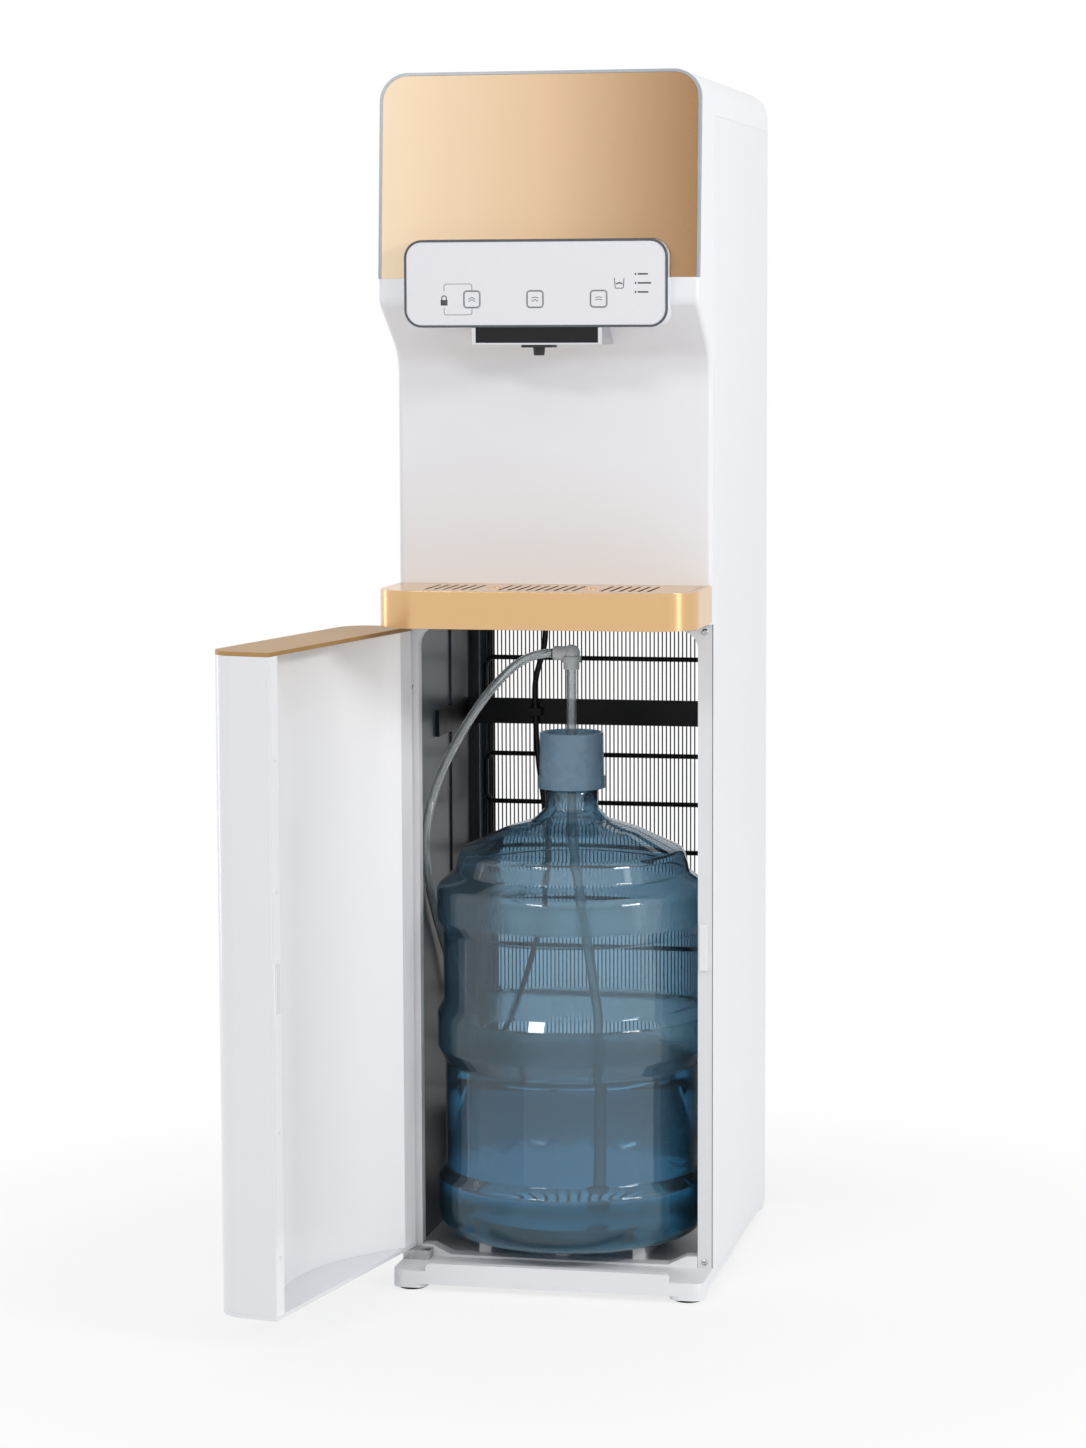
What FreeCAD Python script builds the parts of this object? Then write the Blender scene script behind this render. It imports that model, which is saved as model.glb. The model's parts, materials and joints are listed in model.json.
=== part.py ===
import FreeCAD, Part
import math
import os

# Free-standing bottom load water cooler, in millimetres.
# X runs across, Y runs towards the back and Z is up. The origin is on the floor,
# at mid width, straight below the front face of the door frame.

# ---- overall sizes ----
body_width = 310.0
body_depth = 350.0
body_height = 1184.0
corner_r = 27.0
sheet = 1.5
shell = 2.5
seat_gap = 0.3
half_width = body_width / 2
inside_x = half_width - sheet

# ---- base ----
foot_height = 7.0
foot_length = 34.0
foot_pad = 3.0
base_front = -66.0
ledge_top = 20.0
lip_top = 28.0
lip_thick = 9.0
lip_x = 121.0
base_floor = 19.0
base_seam = 15.0
base_plate = 6.0
base_corner_r = 12.0
sill_top = 22.0
sill_end_top = 31.0
sill_end_x = 128.0
sill_ramp = 18.0
sill_round = 6.0
rail_top = 35.0
rail_width = 12.0
rail_pitch = 78.0
rail_back = body_depth - 50.0

# ---- cabinet ----
frame_bottom = 18.0
frame_top = 657.0
opening_x = 139.5
opening_top = frame_top - 7.0
opening_r = 18.0
frame_lip = 12.0
screw_r = 3.2
screw_proud = 1.6
screw_shank = 1.6
screw_length = 8.0
screw_low = 25.5
screw_left_top = 590.0
deck_top = frame_top
vent_low = deck_top + 33.0
vent_high = 46.0
vent_step = 60.0
side_flange = 14.0
cover_seam = body_height - 40.0
cover_front = 8.0
back_bottom = frame_top - 17.0

# ---- fascia and head ----
niche_y = -12.0
niche_turn_z = 915.0
niche_turn_r = 38.0
chin_y = -88.3
chin_z = 966.0
chin_r = 12.0
head_top_y = -73.0
fascia_edge_r = 5.0
fascia_back = cover_front
gold_bottom = 990.0
gold_edge = 3.0
gold_thick = 2.5
gold_trim_thick = 3.0

# ---- control panel ----
control_x = 126.8
control_bottom = 943.5
control_top = 1026.0
control_r = 17.0
control_y = -98.5
bezel_wide = 2.2
plate_thick = 2.0
bezel_back = 1.0
box_reach = 60.0
control_wall = 4.0
key_size = 16.0
key_r = 3.0
key_z = 970.0
key_pitch = 61.0
key_gap = 0.4
key_stroke = 1.2
key_depth = 3.0
key_proud = 0.3
plate_sunk = 0.6
board_thick = 1.6
board_x = 105.0
board_low = 955.0
board_high = 1014.0

# ---- outlet ----
outlet_x = 63.0
outlet_bottom = 927.0
outlet_y = -91.0
outlet_trim = 4.0
nozzle_y = -80.0
nozzle_r = 5.0
nozzle_bore = 3.5
port_r = 8.0
nozzle_bottom = 917.0
nozzle_plate_x = 15.0
nozzle_plate_thick = 2.5
stem_rise = 6.0

# ---- drip tray ----
tray_bottom = frame_top + 2.0
tray_top = tray_bottom + 36.0
tray_front = -125.0
tray_r = 42.0
tray_wall = 4.0
tray_floor = 3.0
basin_wall = 2.0
basin_back_r = 6.0
grille_thick = 3.0
grille_margin = 7.0
grille_gap = 0.4
slot_width = 3.0
slot_length = 66.0
slot_pitch = 9.0
slot_count = 25
finger_r = 4.0
tongue_margin = 30.0
tongue_reach = 60.0
tongue_back = 30.0
finger_x = 47.0

# ---- door, as it stands closed ----
door_front = -72.0
door_back = -6.0
door_bottom = 29.5
door_top = opening_top + 1.0
door_front_r = 28.0
door_skin_thick = 2.0
door_cap_thick = 4.0
liner_thick = 2.0
liner_flange = 15.0
stile_width = 24.0
liner_reach = 48.0
hinge_inset = 5.5
hinge_x = hinge_inset - half_width
hinge_y = -9.5
hinge_pin_r = 2.5
pin_gap = 0.05
open_angle = 101.0
hinge_plate = 2.5
latch_z = (door_bottom + door_top) / 2
magnet_size = (8.0, 46.0)
catch_thick = 1.2

# ---- condenser ----
condenser_y = body_depth - 70.0
coil_pitch = 51.0
coil_top = deck_top - 61.0
coil_rows = 11
coil_r = 2.5
coil_margin = 21.0
coil_end_x = half_width - coil_margin
return_step = 24.0
coil_bend = 10.0
wire_r = 0.7
wire_pitch = 4.3
wire_count = 63
wire_low = 68.0
wire_high = deck_top - 17.0
bracket_front = condenser_y - 85.0
bracket_thick = 2.0
saddle_back = 5.0
bar_bottom = 527.0
bar_top = 554.0
bar_y = condenser_y - 12.0
bar_thick = 2.0
bar_fold = 138.0
bar_front = bar_y - bar_fold

# ---- bottle and probe ----
bottle_x = -2.5
bottle_y = 84.0
bottle_r = 136.0
bottle_wall = 2.0
punt = 14.0
bottle_base_z = rail_top + seat_gap
base_ring_top = 92.0
low_band = (104.0, 210.0)
middle_ring = (224.0, 258.0)
waist_band = (270.0, 342.0)
top_ring = (354.0, 386.0)
terrace_r = 118.0
terrace_z = 401.0
terrace_rise = 21.0
terrace_lean = 5.0
dome_r = 66.0
dome_z = 443.5
neck_foot = 452.0
neck_low = 464.0
neck_r = 26.5
neck_top = 508.0
cap_r = 33.3
cap_bottom = 484.0
cap_top = 540.0
cap_web = 530.0
cap_wall = 2.5
water_level = 206.0
dip_r = 5.0
dip_bore = 3.5
foot_r = 9.0
foot_low = 8.0
foot_high = 16.0
dip_bottom = bottle_base_z + punt + bottle_wall + foot_low + 8.0
dip_bend = 120.0
elbow_z = 619.0
elbow_low = 603.0
elbow_r = 8.0
elbow_reach = 18.0

# ---- hoses ----
hose_r = 4.5
hose_bore = 3.0
pump_x = -126.0
pump_y = bar_y - 30.0
pump_r = 22.0
pump_top = 118.0
pump_port = 134.0
pump_out = 12.0
pump_mount = 6.0
riser_r = 3.0
riser_x = -66.0
riser_y = bar_y - 5.0
riser_over = 1062.0
riser_top_x = -48.0
grommet_wall = 4.0

# ---- machine bay ----
compressor_x = 62.0
compressor_y = body_depth - 135.0
compressor_r = 60.0
compressor_low = deck_top + 17.0
compressor_tall = 148.0
compressor_high = compressor_low + compressor_tall
pot_wall = 11.0
shelf_z = compressor_high + 28.0
shelf_thick = 2.0
seam_proud = 2.5
cold_x = -66.0
cold_y = riser_y - 93.0
cold_r = 55.0
cold_height = 150.0
foam = 18.0
hot_x = 84.0
hot_y = cold_y - 20.0
hot_r = 45.0
hot_height = 130.0
tank_foot = 22.0
line_r = 2.5
line_y = body_depth - 32.0
suction_x = -40.0
capillary_x = -92.0
capillary_r = 1.2
drier_low = deck_top + 43.0
drier_high = drier_low + 90.0
drier_r = 10.0
shelf_port_r = 8.0
mount_x = 70.0
mount_y = 30.0
mount_r = 4.5
plate_under = 3.0
stub_reach = 24.0
coil_band = 90.0
turn_pitch = 12.0
turn_count = 7
leg_count = 3
leg_ring = 30.0
band_height = 40.0
valve_x = 24.0
valve_y = 26.0
valve_z = cover_seam - 104.0
valve_size = 26.0
valve_body = 16.0
cold_port_z = 900.0
hot_port_z = 960.0
tee_x = 3.6
silicone_r = 4.5
silicone_bore = 3.0
silicone_bend = 14.0
drop_r = 3.5
drop_bore = 2.5

power_x = (-134.0, -62.0)
power_top = cover_seam - 18.0
power_bottom = power_top - 90.0
power_gap = 8.0

# ---- rear switches, gland and drain ----
rocker_x = (70.0, 100.0)
rocker_z = cover_seam - 54.0
rocker_y = body_depth - 5.0
rocker_hole = (13.0, 19.5)
rocker_bezel = (17.0, 24.0)
rocker_tilt = 8.0
pivot_r = 1.2
pivot_gap = 0.3
gland_x = 120.0
gland_z = cover_seam - 104.0
gland_r = 7.0
drain_z = 890.0
drain_r = 9.0
drain_wall = 2.5
drain_proud = 10.0

key_places = {"key_hot": -key_pitch, "key_ambient": 0.0, "key_cold": key_pitch}
head_bounds = (-120.0, 400.0)

tau = 360.0
bead = 0.45


def at(x, y, z):
    return FreeCAD.Vector(x, y, z)


def block(x0, x1, y0, y1, z0, z1):
    return Part.makeBox(x1 - x0, y1 - y0, z1 - z0, at(x0, y0, z0))


def rod(radius, start, end):
    along = end - start
    return Part.makeCylinder(radius, along.Length, start, along)


def join(shapes):
    first, rest = shapes[0], shapes[1:]
    return first.fuse(rest).removeSplitter() if rest else first


def outline(corners, place):
    """Closed wire through (u, v, radius) corners, each rounded by a tangent arc."""
    edges = []
    count = len(corners)
    marks = []
    for i in range(count):
        u, v, radius = corners[i]
        here = FreeCAD.Vector(u, v, 0)
        back = FreeCAD.Vector(*corners[i - 1][:2], 0) - here
        ahead = FreeCAD.Vector(*corners[(i + 1) % count][:2], 0) - here
        if radius <= 0:
            marks.append((here, here, here))
            continue
        half = back.getAngle(ahead) / 2
        reach = radius / math.tan(half)
        back.normalize()
        ahead.normalize()
        middle = (back + ahead).normalize()
        top = here + middle * (radius / math.sin(half) - radius)
        marks.append((here + back * reach, top, here + ahead * reach))
    points = [[place(p.x, p.y) for p in mark] for mark in marks]
    for i in range(count):
        enter, top, leave = points[i]
        following = points[(i + 1) % count][0]
        if not enter.isEqual(leave, 1e-6):
            edges.append(Part.Arc(enter, top, leave).toShape())
        if not leave.isEqual(following, 1e-6):
            edges.append(Part.LineSegment(leave, following).toShape())
    return Part.Wire(edges)


def plan_prism(corners, z0, z1):
    face = Part.Face(outline(corners, lambda u, v: at(u, v, z0)))
    return face.extrude(at(0, 0, z1 - z0))


def front_prism(corners, y0, y1):
    face = Part.Face(outline(corners, lambda u, v: at(u, y0, v)))
    return face.extrude(at(0, y1 - y0, 0))


def side_prism(corners, x0, x1):
    face = Part.Face(outline(corners, lambda u, v: at(x0, u, v)))
    return face.extrude(at(x1 - x0, 0, 0))


def rectangle(u0, u1, v0, v1, radius=0.0):
    return [(u0, v0, radius), (u1, v0, radius), (u1, v1, radius), (u0, v1, radius)]


def arch(half, v0, v1, radius):
    """A rectangle about u = 0 with only its two upper corners rounded."""
    return [(-half, v0, 0), (half, v0, 0), (half, v1, radius), (-half, v1, radius)]


def turned(corners, x, y):
    """Solid of revolution about the upright line through (x, y), from (r, z, radius) corners."""
    face = Part.Face(outline(corners, lambda r, z: at(x + r, y, z)))
    return face.revolve(at(x, y, 0), at(0, 0, 1), tau)


def bends(points, bend):
    """Straight runs joined by tangent arcs. With no bend given, each arc is as large as its runs allow."""
    edges = []
    radii = []
    start = points[0]
    for i in range(1, len(points) - 1):
        here = points[i]
        back = points[i - 1] - here
        ahead = points[i + 1] - here
        half = back.getAngle(ahead) / 2
        reach = bead * min(back.Length, ahead.Length) if bend is None else bend / math.tan(half)
        radius = reach * math.tan(half)
        radii.append(round(radius, 1))
        back.normalize()
        ahead.normalize()
        middle = (back + ahead).normalize()
        enter = here + back * reach
        leave = here + ahead * reach
        top = here + middle * (radius / math.sin(half) - radius)
        edges.append(Part.LineSegment(start, enter).toShape())
        edges.append(Part.Arc(enter, top, leave).toShape())
        start = leave
    edges.append(Part.LineSegment(start, points[-1]).toShape())
    return Part.Wire(edges), radii


def pipe(path, radius):
    start = path.OrderedVertexes[0].Point
    first = path.OrderedEdges[0]
    along = first.tangentAt(first.FirstParameter)
    if (first.valueAt(first.FirstParameter) - start).Length > 1e-6:
        along = first.tangentAt(first.LastParameter) * -1
    ring = Part.Wire(Part.makeCircle(radius, start, along))
    return path.makePipeShell([ring], True, False)


def tube(name, points, outer, bore=0.0, bend=None):
    path, radii = bends([at(*p) for p in points], bend)
    solid = pipe(path, outer)
    if bore:
        solid = solid.cut(pipe(path, bore))
    section = math.pi * (outer ** 2 - bore ** 2)
    share = solid.Volume / (section * path.Length)
    print(name, "length", round(path.Length, 1), "volume share", round(share, 4), "radii", radii)
    return solid


def pattern(make, places):
    return Part.makeCompound([make(*place) for place in places])


# ---- base ----

def foot_places():
    x = half_width - foot_length / 2
    back = body_depth - foot_length / 2
    front = base_front + foot_length / 2
    return [(sx * x, y) for y in (front, back) for sx in (-1, 1)] + [(0.0, 0.0)]


def foot_block(x, y, low, high):
    half = foot_length / 2
    return plan_prism(rectangle(x - half, x + half, y - half, y + half, base_corner_r - 1), low, high)


def base_frame():
    """Moulded base: plate on five feet, a low lip at the front, a sill between the jambs and three rails."""
    side = inside_x - seat_gap
    back = body_depth - sheet - seat_gap
    body = plan_prism([(-half_width, base_front, base_corner_r), (half_width, base_front, base_corner_r),
                       (half_width, body_depth, 2), (-half_width, body_depth, 2)], foot_height, base_seam)
    floor = block(-side, side, 0, back, base_seam, base_floor)
    ledge = plan_prism([(-half_width, base_front, base_corner_r), (half_width, base_front, base_corner_r),
                        (half_width, -seat_gap, 0), (-half_width, -seat_gap, 0)], base_seam, ledge_top)
    lip = front_prism([(-lip_x, foot_height, 0), (lip_x, foot_height, 0), (lip_x, lip_top, lip_thick * 0.6),
                       (-lip_x, lip_top, lip_thick * 0.6)], base_front, base_front + lip_thick)
    feet = [foot_block(x, y, foot_pad, base_seam) for x, y in foot_places()]
    under = block(-half_width + foot_length, half_width - foot_length, base_front + lip_thick + base_plate,
                  body_depth - foot_length, foot_height, base_seam - 2)
    under = under.cut(foot_block(0.0, 0.0, foot_height, base_seam))
    sill_back = frame_lip + sheet
    end_x = opening_x - seat_gap
    ramp_x = sill_end_x - sill_ramp
    sill = front_prism([(-end_x, base_seam, 0), (end_x, base_seam, 0), (end_x, sill_end_top, 0),
                        (sill_end_x, sill_end_top, sill_round), (ramp_x, sill_top, sill_round),
                        (-ramp_x, sill_top, sill_round), (-sill_end_x, sill_end_top, sill_round),
                        (-end_x, sill_end_top, 0)], -base_plate / 2, sill_back)
    rails = [block(x - rail_width / 2, x + rail_width / 2, sill_back - 1, rail_back, base_floor - 1, rail_top)
             for x in (-rail_pitch, 0.0, rail_pitch)]
    slot = [block(min(s * opening_x, s * inside_x), max(s * opening_x, s * inside_x), -seat_gap,
                  sheet + seat_gap, frame_bottom - seat_gap, lip_top) for s in (-1, 1)]
    return join([body, floor, ledge, lip, sill] + feet + rails).cut([under] + slot)


def foot_pads():
    def pad(x, y):
        return rod(foot_length / 2 - 4, at(x, y, 0), at(x, y, foot_pad))
    return pattern(pad, foot_places())


# ---- cabinet ----

def side_panel(side):
    wall = block(inside_x, half_width, 0, body_depth, base_seam, cover_seam)
    rear = block(inside_x - side_flange, inside_x, body_depth - sheet, body_depth, base_floor + 1, cover_seam)
    panel = join([wall, rear])
    return panel if side > 0 else panel.mirror(at(0, 0, 0), at(1, 0, 0))


def front_frame():
    """Steel door frame: a flat plate with a folded lip round an opening that is open at the sill."""
    plate = front_prism(rectangle(-inside_x, inside_x, frame_bottom, frame_top), 0, sheet)
    depth = sheet + frame_lip
    hole = front_prism(arch(opening_x, 0, opening_top, opening_r), -1, depth + 1)
    around = arch(opening_x + sheet, sill_end_top + 1, opening_top + sheet, opening_r + sheet)
    lip = front_prism(around, sheet, depth)
    return join([plate, lip]).cut([hole] + screw_set(True))


def screw_set(shank_only):
    """Round-headed screws on the jambs, or only the holes that their shanks fill."""
    def screw(x, z):
        head = turned([(0, 0, 0), (screw_r, 0, 0), (screw_r, screw_proud * 0.5, 0),
                       (screw_r - 1.2, screw_proud, 0), (0, screw_proud, 0)], 0, 0)
        recess = rod(1.0, at(0, 0, screw_proud - 0.6), at(0, 0, screw_proud + 1))
        shank = rod(screw_shank, at(0, 0, -screw_length), at(0, 0, 0))
        body = shank if shank_only else join([head.cut(recess), shank])
        body.rotate(at(0, 0, 0), at(1, 0, 0), 90)
        body.translate(at(x, 0, z))
        return body
    x = (opening_x + inside_x) / 2
    return [screw(x, screw_low), screw(x, opening_top - 1), screw(-x, screw_low), screw(-x, screw_left_top)]


def frame_screws():
    return Part.makeCompound(screw_set(False))


def deck_plate():
    """Steel deck above the bottle bay, with ports for the lines and the tongue for the tray."""
    plate = block(-inside_x, inside_x, sheet, body_depth - 2 * sheet, deck_top - sheet, deck_top)
    ports = [(riser_x, riser_y, riser_r + grommet_wall), (coil_end_x, condenser_y, line_r + 4),
             (-coil_end_x, condenser_y + return_step, line_r + 4)]
    holes = [rod(r, at(x, y, deck_top - 5), at(x, y, deck_top + 5)) for x, y, r in ports]
    return join([plate.cut(holes), tray_tongue()])


def deck_grommet():
    def ring(radius, low, high):
        return rod(radius, at(riser_x, riser_y, deck_top + low), at(riser_x, riser_y, deck_top + high))
    outer = riser_r + grommet_wall
    return join([ring(outer + 2.5, 0, 2), ring(outer, -sheet - 2, 0)]).cut(ring(riser_r, -20, 20))


def top_cover():
    outer = front_prism(arch(half_width, cover_seam, body_height, corner_r), cover_front, body_depth)
    inner = front_prism(arch(half_width - shell, cover_seam - 1, body_height - shell, corner_r - shell),
                        cover_front - 1, body_depth - shell)
    return outer.cut(inner)


def back_panel():
    plate = block(-inside_x, inside_x, body_depth - sheet * 2, body_depth - sheet, back_bottom, cover_seam)
    slots = [block(x - 1.5, x + 1.5, body_depth - 10, body_depth + 1, z, z + vent_high)
             for x in [i * 10.0 - 95 for i in range(20)] for z in (vent_low, vent_low + vent_step)]
    rockers = [block(x - rocker_hole[0] / 2, x + rocker_hole[0] / 2, body_depth - 10, body_depth + 1,
                     rocker_z - rocker_hole[1] / 2, rocker_z + rocker_hole[1] / 2) for x in rocker_x]
    gland = rod(gland_r, at(gland_x, body_depth - 10, gland_z), at(gland_x, body_depth + 1, gland_z))
    drain = rod(drain_r + 0.2, at(cold_x, body_depth - 10, drain_z), at(cold_x, body_depth + 1, drain_z))
    flanges = block(-inside_x - 1, -inside_x + side_flange, body_depth - sheet, body_depth, 0, body_height)
    return plate.cut(slots + rockers + [gland, drain, flanges])


# ---- rear switches, gland and drain ----


def switch_housing():
    def housing(x):
        wide, high = rocker_hole
        bezel = block(x - rocker_bezel[0] / 2, x + rocker_bezel[0] / 2, body_depth - sheet,
                      body_depth + 1.0, rocker_z - rocker_bezel[1] / 2, rocker_z + rocker_bezel[1] / 2)
        barrel = block(x - wide / 2, x + wide / 2, body_depth - 20, body_depth - sheet,
                       rocker_z - high / 2, rocker_z + high / 2)
        well = block(x - wide / 2 + 1.5, x + wide / 2 - 1.5, body_depth - 12, body_depth + 3,
                     rocker_z - high / 2 + 1.5, rocker_z + high / 2 - 1.5)
        socket = rod(pivot_r + pivot_gap, at(x - wide / 2 + 0.2, rocker_y, rocker_z),
                     at(x + wide / 2 - 0.2, rocker_y, rocker_z))
        return join([bezel, barrel]).cut([well, socket])
    return pattern(housing, [(x,) for x in rocker_x])


def rocker(x):
    """A rocker tilted with its lower end pressed in, on a pivot inside the housing."""
    wide, high = rocker_hole
    half = high / 2 - 2.2
    y = rocker_y
    key = side_prism([(y - 3, rocker_z - half + 1.5, 0), (y + 4.5, rocker_z - half, 1),
                      (y + 3.5, rocker_z, 0), (y + 4.5, rocker_z + half, 1),
                      (y - 3, rocker_z + half - 1.5, 0)],
                     x - wide / 2 + 1.8, x + wide / 2 - 1.8)
    pivot = rod(pivot_r, at(x - wide / 2 + 0.6, y, rocker_z), at(x + wide / 2 - 0.6, y, rocker_z))
    key.rotate(at(x, y, rocker_z), at(1, 0, 0), -rocker_tilt / 2)
    return join([key, pivot])


def cable_gland():
    flange = rod(gland_r + 3, at(gland_x, body_depth - sheet, gland_z), at(gland_x, body_depth + 2, gland_z))
    stem = rod(gland_r - 0.1, at(gland_x, body_depth - 12, gland_z), at(gland_x, body_depth - sheet, gland_z))
    plug = rod(4.0, at(gland_x, body_depth - 13, gland_z), at(gland_x, body_depth + 3, gland_z))
    return join([flange, stem]).cut(plug)


def drain_plug():
    """Screw cap on the drain stub, with finger grooves round its rim."""
    y = body_depth - sheet + drain_proud
    rim = drain_r + 3
    cap = rod(rim, at(cold_x, y, drain_z), at(cold_x, y + 10, drain_z))
    stem = rod(drain_r - drain_wall - 0.1, at(cold_x, y - 8, drain_z), at(cold_x, y, drain_z))
    angles = [math.radians(tau * i / 12) for i in range(12)]
    grips = [rod(1.6, at(cold_x + rim * math.cos(a), y - 1, drain_z + rim * math.sin(a)),
                 at(cold_x + rim * math.cos(a), y + 11, drain_z + rim * math.sin(a))) for a in angles]
    return join([cap, stem]).cut(grips)


# ---- fascia and head ----

def lean_y(z):
    """Y of the head's front face, which leans back a little towards the top."""
    return chin_y + (head_top_y - chin_y) * (z - chin_z) / (body_height - chin_z)


def fascia_profile(inset, low):
    """Front line of the fascia, seen from the side, with its back edge."""
    return [(fascia_back + 1, low, 0), (niche_y + inset, low, 0),
            (niche_y + inset, niche_turn_z - inset * 0.1, niche_turn_r),
            (chin_y + inset, chin_z + inset * 0.9, max(chin_r - inset, 1)),
            (lean_y(body_height + 40) + inset, body_height + 40, 0), (fascia_back + 1, body_height + 40, 0)]


def fascia_form(inset, low, back):
    section = side_prism(fascia_profile(inset, low), -half_width + inset, half_width - inset)
    limit = front_prism(arch(half_width - inset, low, body_height - inset, corner_r - inset),
                        head_bounds[0], back)
    return section.common(limit)


def soft_edges(body):
    """Round the two long front edges of the fascia."""
    chosen = []
    for edge in body.Edges:
        box = edge.BoundBox
        on_side = box.XLength < 1e-3 and abs(abs(box.XMin) - half_width) < 1e-3
        if on_side and box.YMax < niche_y + 1e-3 and box.ZMax < body_height - corner_r + 1:
            chosen.append(edge)
    return body.makeFillet(fascia_edge_r, chosen)


def fascia_shell():
    whole = fascia_form(0, frame_top, fascia_back)
    outer = soft_edges(whole)
    inner = fascia_form(shell, frame_top - 1, fascia_back + 2)
    body = outer.cut(inner)
    deep = gold_thick + gold_trim_thick
    backing = outer.common(gold_slab(shell, deep + shell))
    tuck = [block(min(s * inside_x, s * half_width), max(s * inside_x, s * half_width), 0, fascia_back + 1,
                  base_seam, cover_seam) for s in (-1, 1)]
    return join([body, backing]).cut([gold_slab(0, deep), nozzle_port(port_r), tray_tongue()] + tuck)


def gold_slab(inset, depth):
    """Plate behind the leaning front face, from the gold panel's lower edge to the top."""
    slab = front_prism(arch(half_width - inset, gold_bottom, body_height + 60, 0), 0, depth)
    lean = math.degrees(math.atan2(head_top_y - chin_y, body_height - chin_z))
    slab.rotate(at(0, 0, gold_bottom), at(1, 0, 0), -lean)
    slab.translate(at(0, lean_y(gold_bottom), 0))
    limit = front_prism(arch(half_width - inset, gold_bottom, body_height - inset, corner_r - inset),
                        *head_bounds)
    return slab.common(limit)


def gold_trim():
    whole = gold_slab(0, gold_thick + gold_trim_thick)
    return whole.cut(gold_slab(gold_edge, gold_thick)).cut(control_form(seat_gap, 40))


def gold_panel():
    return gold_slab(gold_edge, gold_thick).cut(control_form(seat_gap, 40))


# ---- control panel ----

def control_form(grow, depth):
    corners = rectangle(-control_x - grow, control_x + grow, control_bottom - grow, control_top + grow,
                        control_r + grow)
    return front_prism(corners, control_y, control_y + depth)


def control_face(inset, y0, y1):
    corners = rectangle(-control_x + inset, control_x - inset, control_bottom + inset, control_top - inset,
                        control_r - inset)
    return front_prism(corners, y0, y1)


def key_form(x, grow, y0, y1):
    half = key_size / 2 + grow
    return front_prism(rectangle(x - half, x + half, key_z - half, key_z + half, key_r + grow), y0, y1)


def control_housing():
    """Open box behind the control plate, seated on the curved fascia."""
    back = plate_thick + bezel_back
    body = control_form(0, box_reach).cut(control_form(1, back))
    hollow = control_face(control_wall, control_y - 1, control_y + box_reach + 1)
    return body.cut([hollow, fascia_form(0, frame_top, fascia_back), nozzle_port(port_r)])


def control_bezel():
    ring = control_form(0, plate_thick + bezel_back)
    return ring.cut(control_face(bezel_wide, control_y - 1, control_y + plate_thick + bezel_back + 1))


def control_plate():
    plate = control_face(bezel_wide, control_y + plate_sunk, control_y + plate_thick + bezel_back)
    return plate.cut([key_form(x, key_gap, control_y - 1, control_y + plate_thick + bezel_back + 1)
                      for x in key_places.values()])


def key(x):
    return key_form(x, 0, control_y + key_proud, control_y + plate_thick + key_depth)


def control_board():
    """Key board on four posts behind the control plate, with a low switch behind each key."""
    low = control_y + plate_thick + key_depth + key_stroke
    y = low + 0.3
    board = block(-board_x, board_x, y, y + board_thick, board_low, board_high)
    posts = [rod(2.5, at(x, control_y + plate_thick + bezel_back, z), at(x, y, z))
             for x in (-board_x + 5, board_x - 5) for z in (board_low + 5, board_high - 5)]
    switches = [block(x - 3, x + 3, low + 0.1, y, key_z - 3, key_z + 3) for x in key_places.values()]
    return join([board] + posts + switches)


# ---- outlet ----

def nozzle_port(radius):
    return rod(radius, at(0, nozzle_y, nozzle_bottom - 5), at(0, nozzle_y, gold_bottom))


def outlet_housing():
    body = block(-outlet_x + outlet_trim, outlet_x - outlet_trim, outlet_y, niche_y,
                 outlet_bottom + outlet_trim / 2, control_bottom)
    return body.cut([fascia_form(0, frame_top, fascia_back), nozzle_port(port_r)])


def outlet_trim_frame():
    body = block(-outlet_x, outlet_x, outlet_y - 1, niche_y, outlet_bottom, control_bottom)
    hollow = block(-outlet_x + outlet_trim, outlet_x - outlet_trim, outlet_y - 2, niche_y + 1,
                   outlet_bottom + outlet_trim / 2, control_bottom + 1)
    return body.cut([hollow, fascia_form(0, frame_top, fascia_back), nozzle_port(port_r)])


def nozzle():
    plate = block(-nozzle_plate_x, nozzle_plate_x, nozzle_y - 11, nozzle_y + 11,
                  outlet_bottom - nozzle_plate_thick, outlet_bottom)
    spout = turned([(0, nozzle_bottom, 0), (nozzle_r, nozzle_bottom, 0.8),
                    (nozzle_r + 0.8, outlet_bottom - nozzle_plate_thick, 0),
                    (0, outlet_bottom - nozzle_plate_thick, 0)], 0, nozzle_y)
    top = control_bottom + stem_rise
    stem = rod(port_r - 0.3, at(0, nozzle_y, outlet_bottom), at(0, nozzle_y, top))
    bore = rod(nozzle_bore, at(0, nozzle_y, nozzle_bottom - 1), at(0, nozzle_y, top + 1))
    return join([plate, spout, stem]).cut(bore)


# ---- drip tray ----

def tray_plan(inset, back_r=0.0):
    """Plan of the tray: square at the fascia, with two large round corners in front."""
    x, front, back, radius = half_width - inset, tray_front + inset, niche_y - inset, tray_r - inset
    return [(-x, back, back_r), (-x, front, radius), (x, front, radius), (x, back, back_r)]


def basin_plan(inset):
    return tray_plan(grille_margin + inset, basin_back_r)


def tray_body():
    """Bowl with a rim moulding on it, which leaves a ledge for the basin's flange."""
    seat = tray_top - grille_thick - basin_wall
    well = plan_prism(basin_plan(tray_wall), tray_bottom + tray_floor, tray_top)
    bowl = plan_prism(tray_plan(0), tray_bottom, seat).cut(well)
    rim = plan_prism(tray_plan(0), seat, tray_top).cut(plan_prism(basin_plan(0), seat - 1, tray_top + 1))
    return Part.makeCompound([bowl, rim])


def tray_tongue():
    """Folded tongue on the deck that carries the tray in front of the fascia."""
    x = half_width - tongue_margin
    return block(-x, x, niche_y - tongue_reach, tongue_back, frame_top, tray_bottom)


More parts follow.
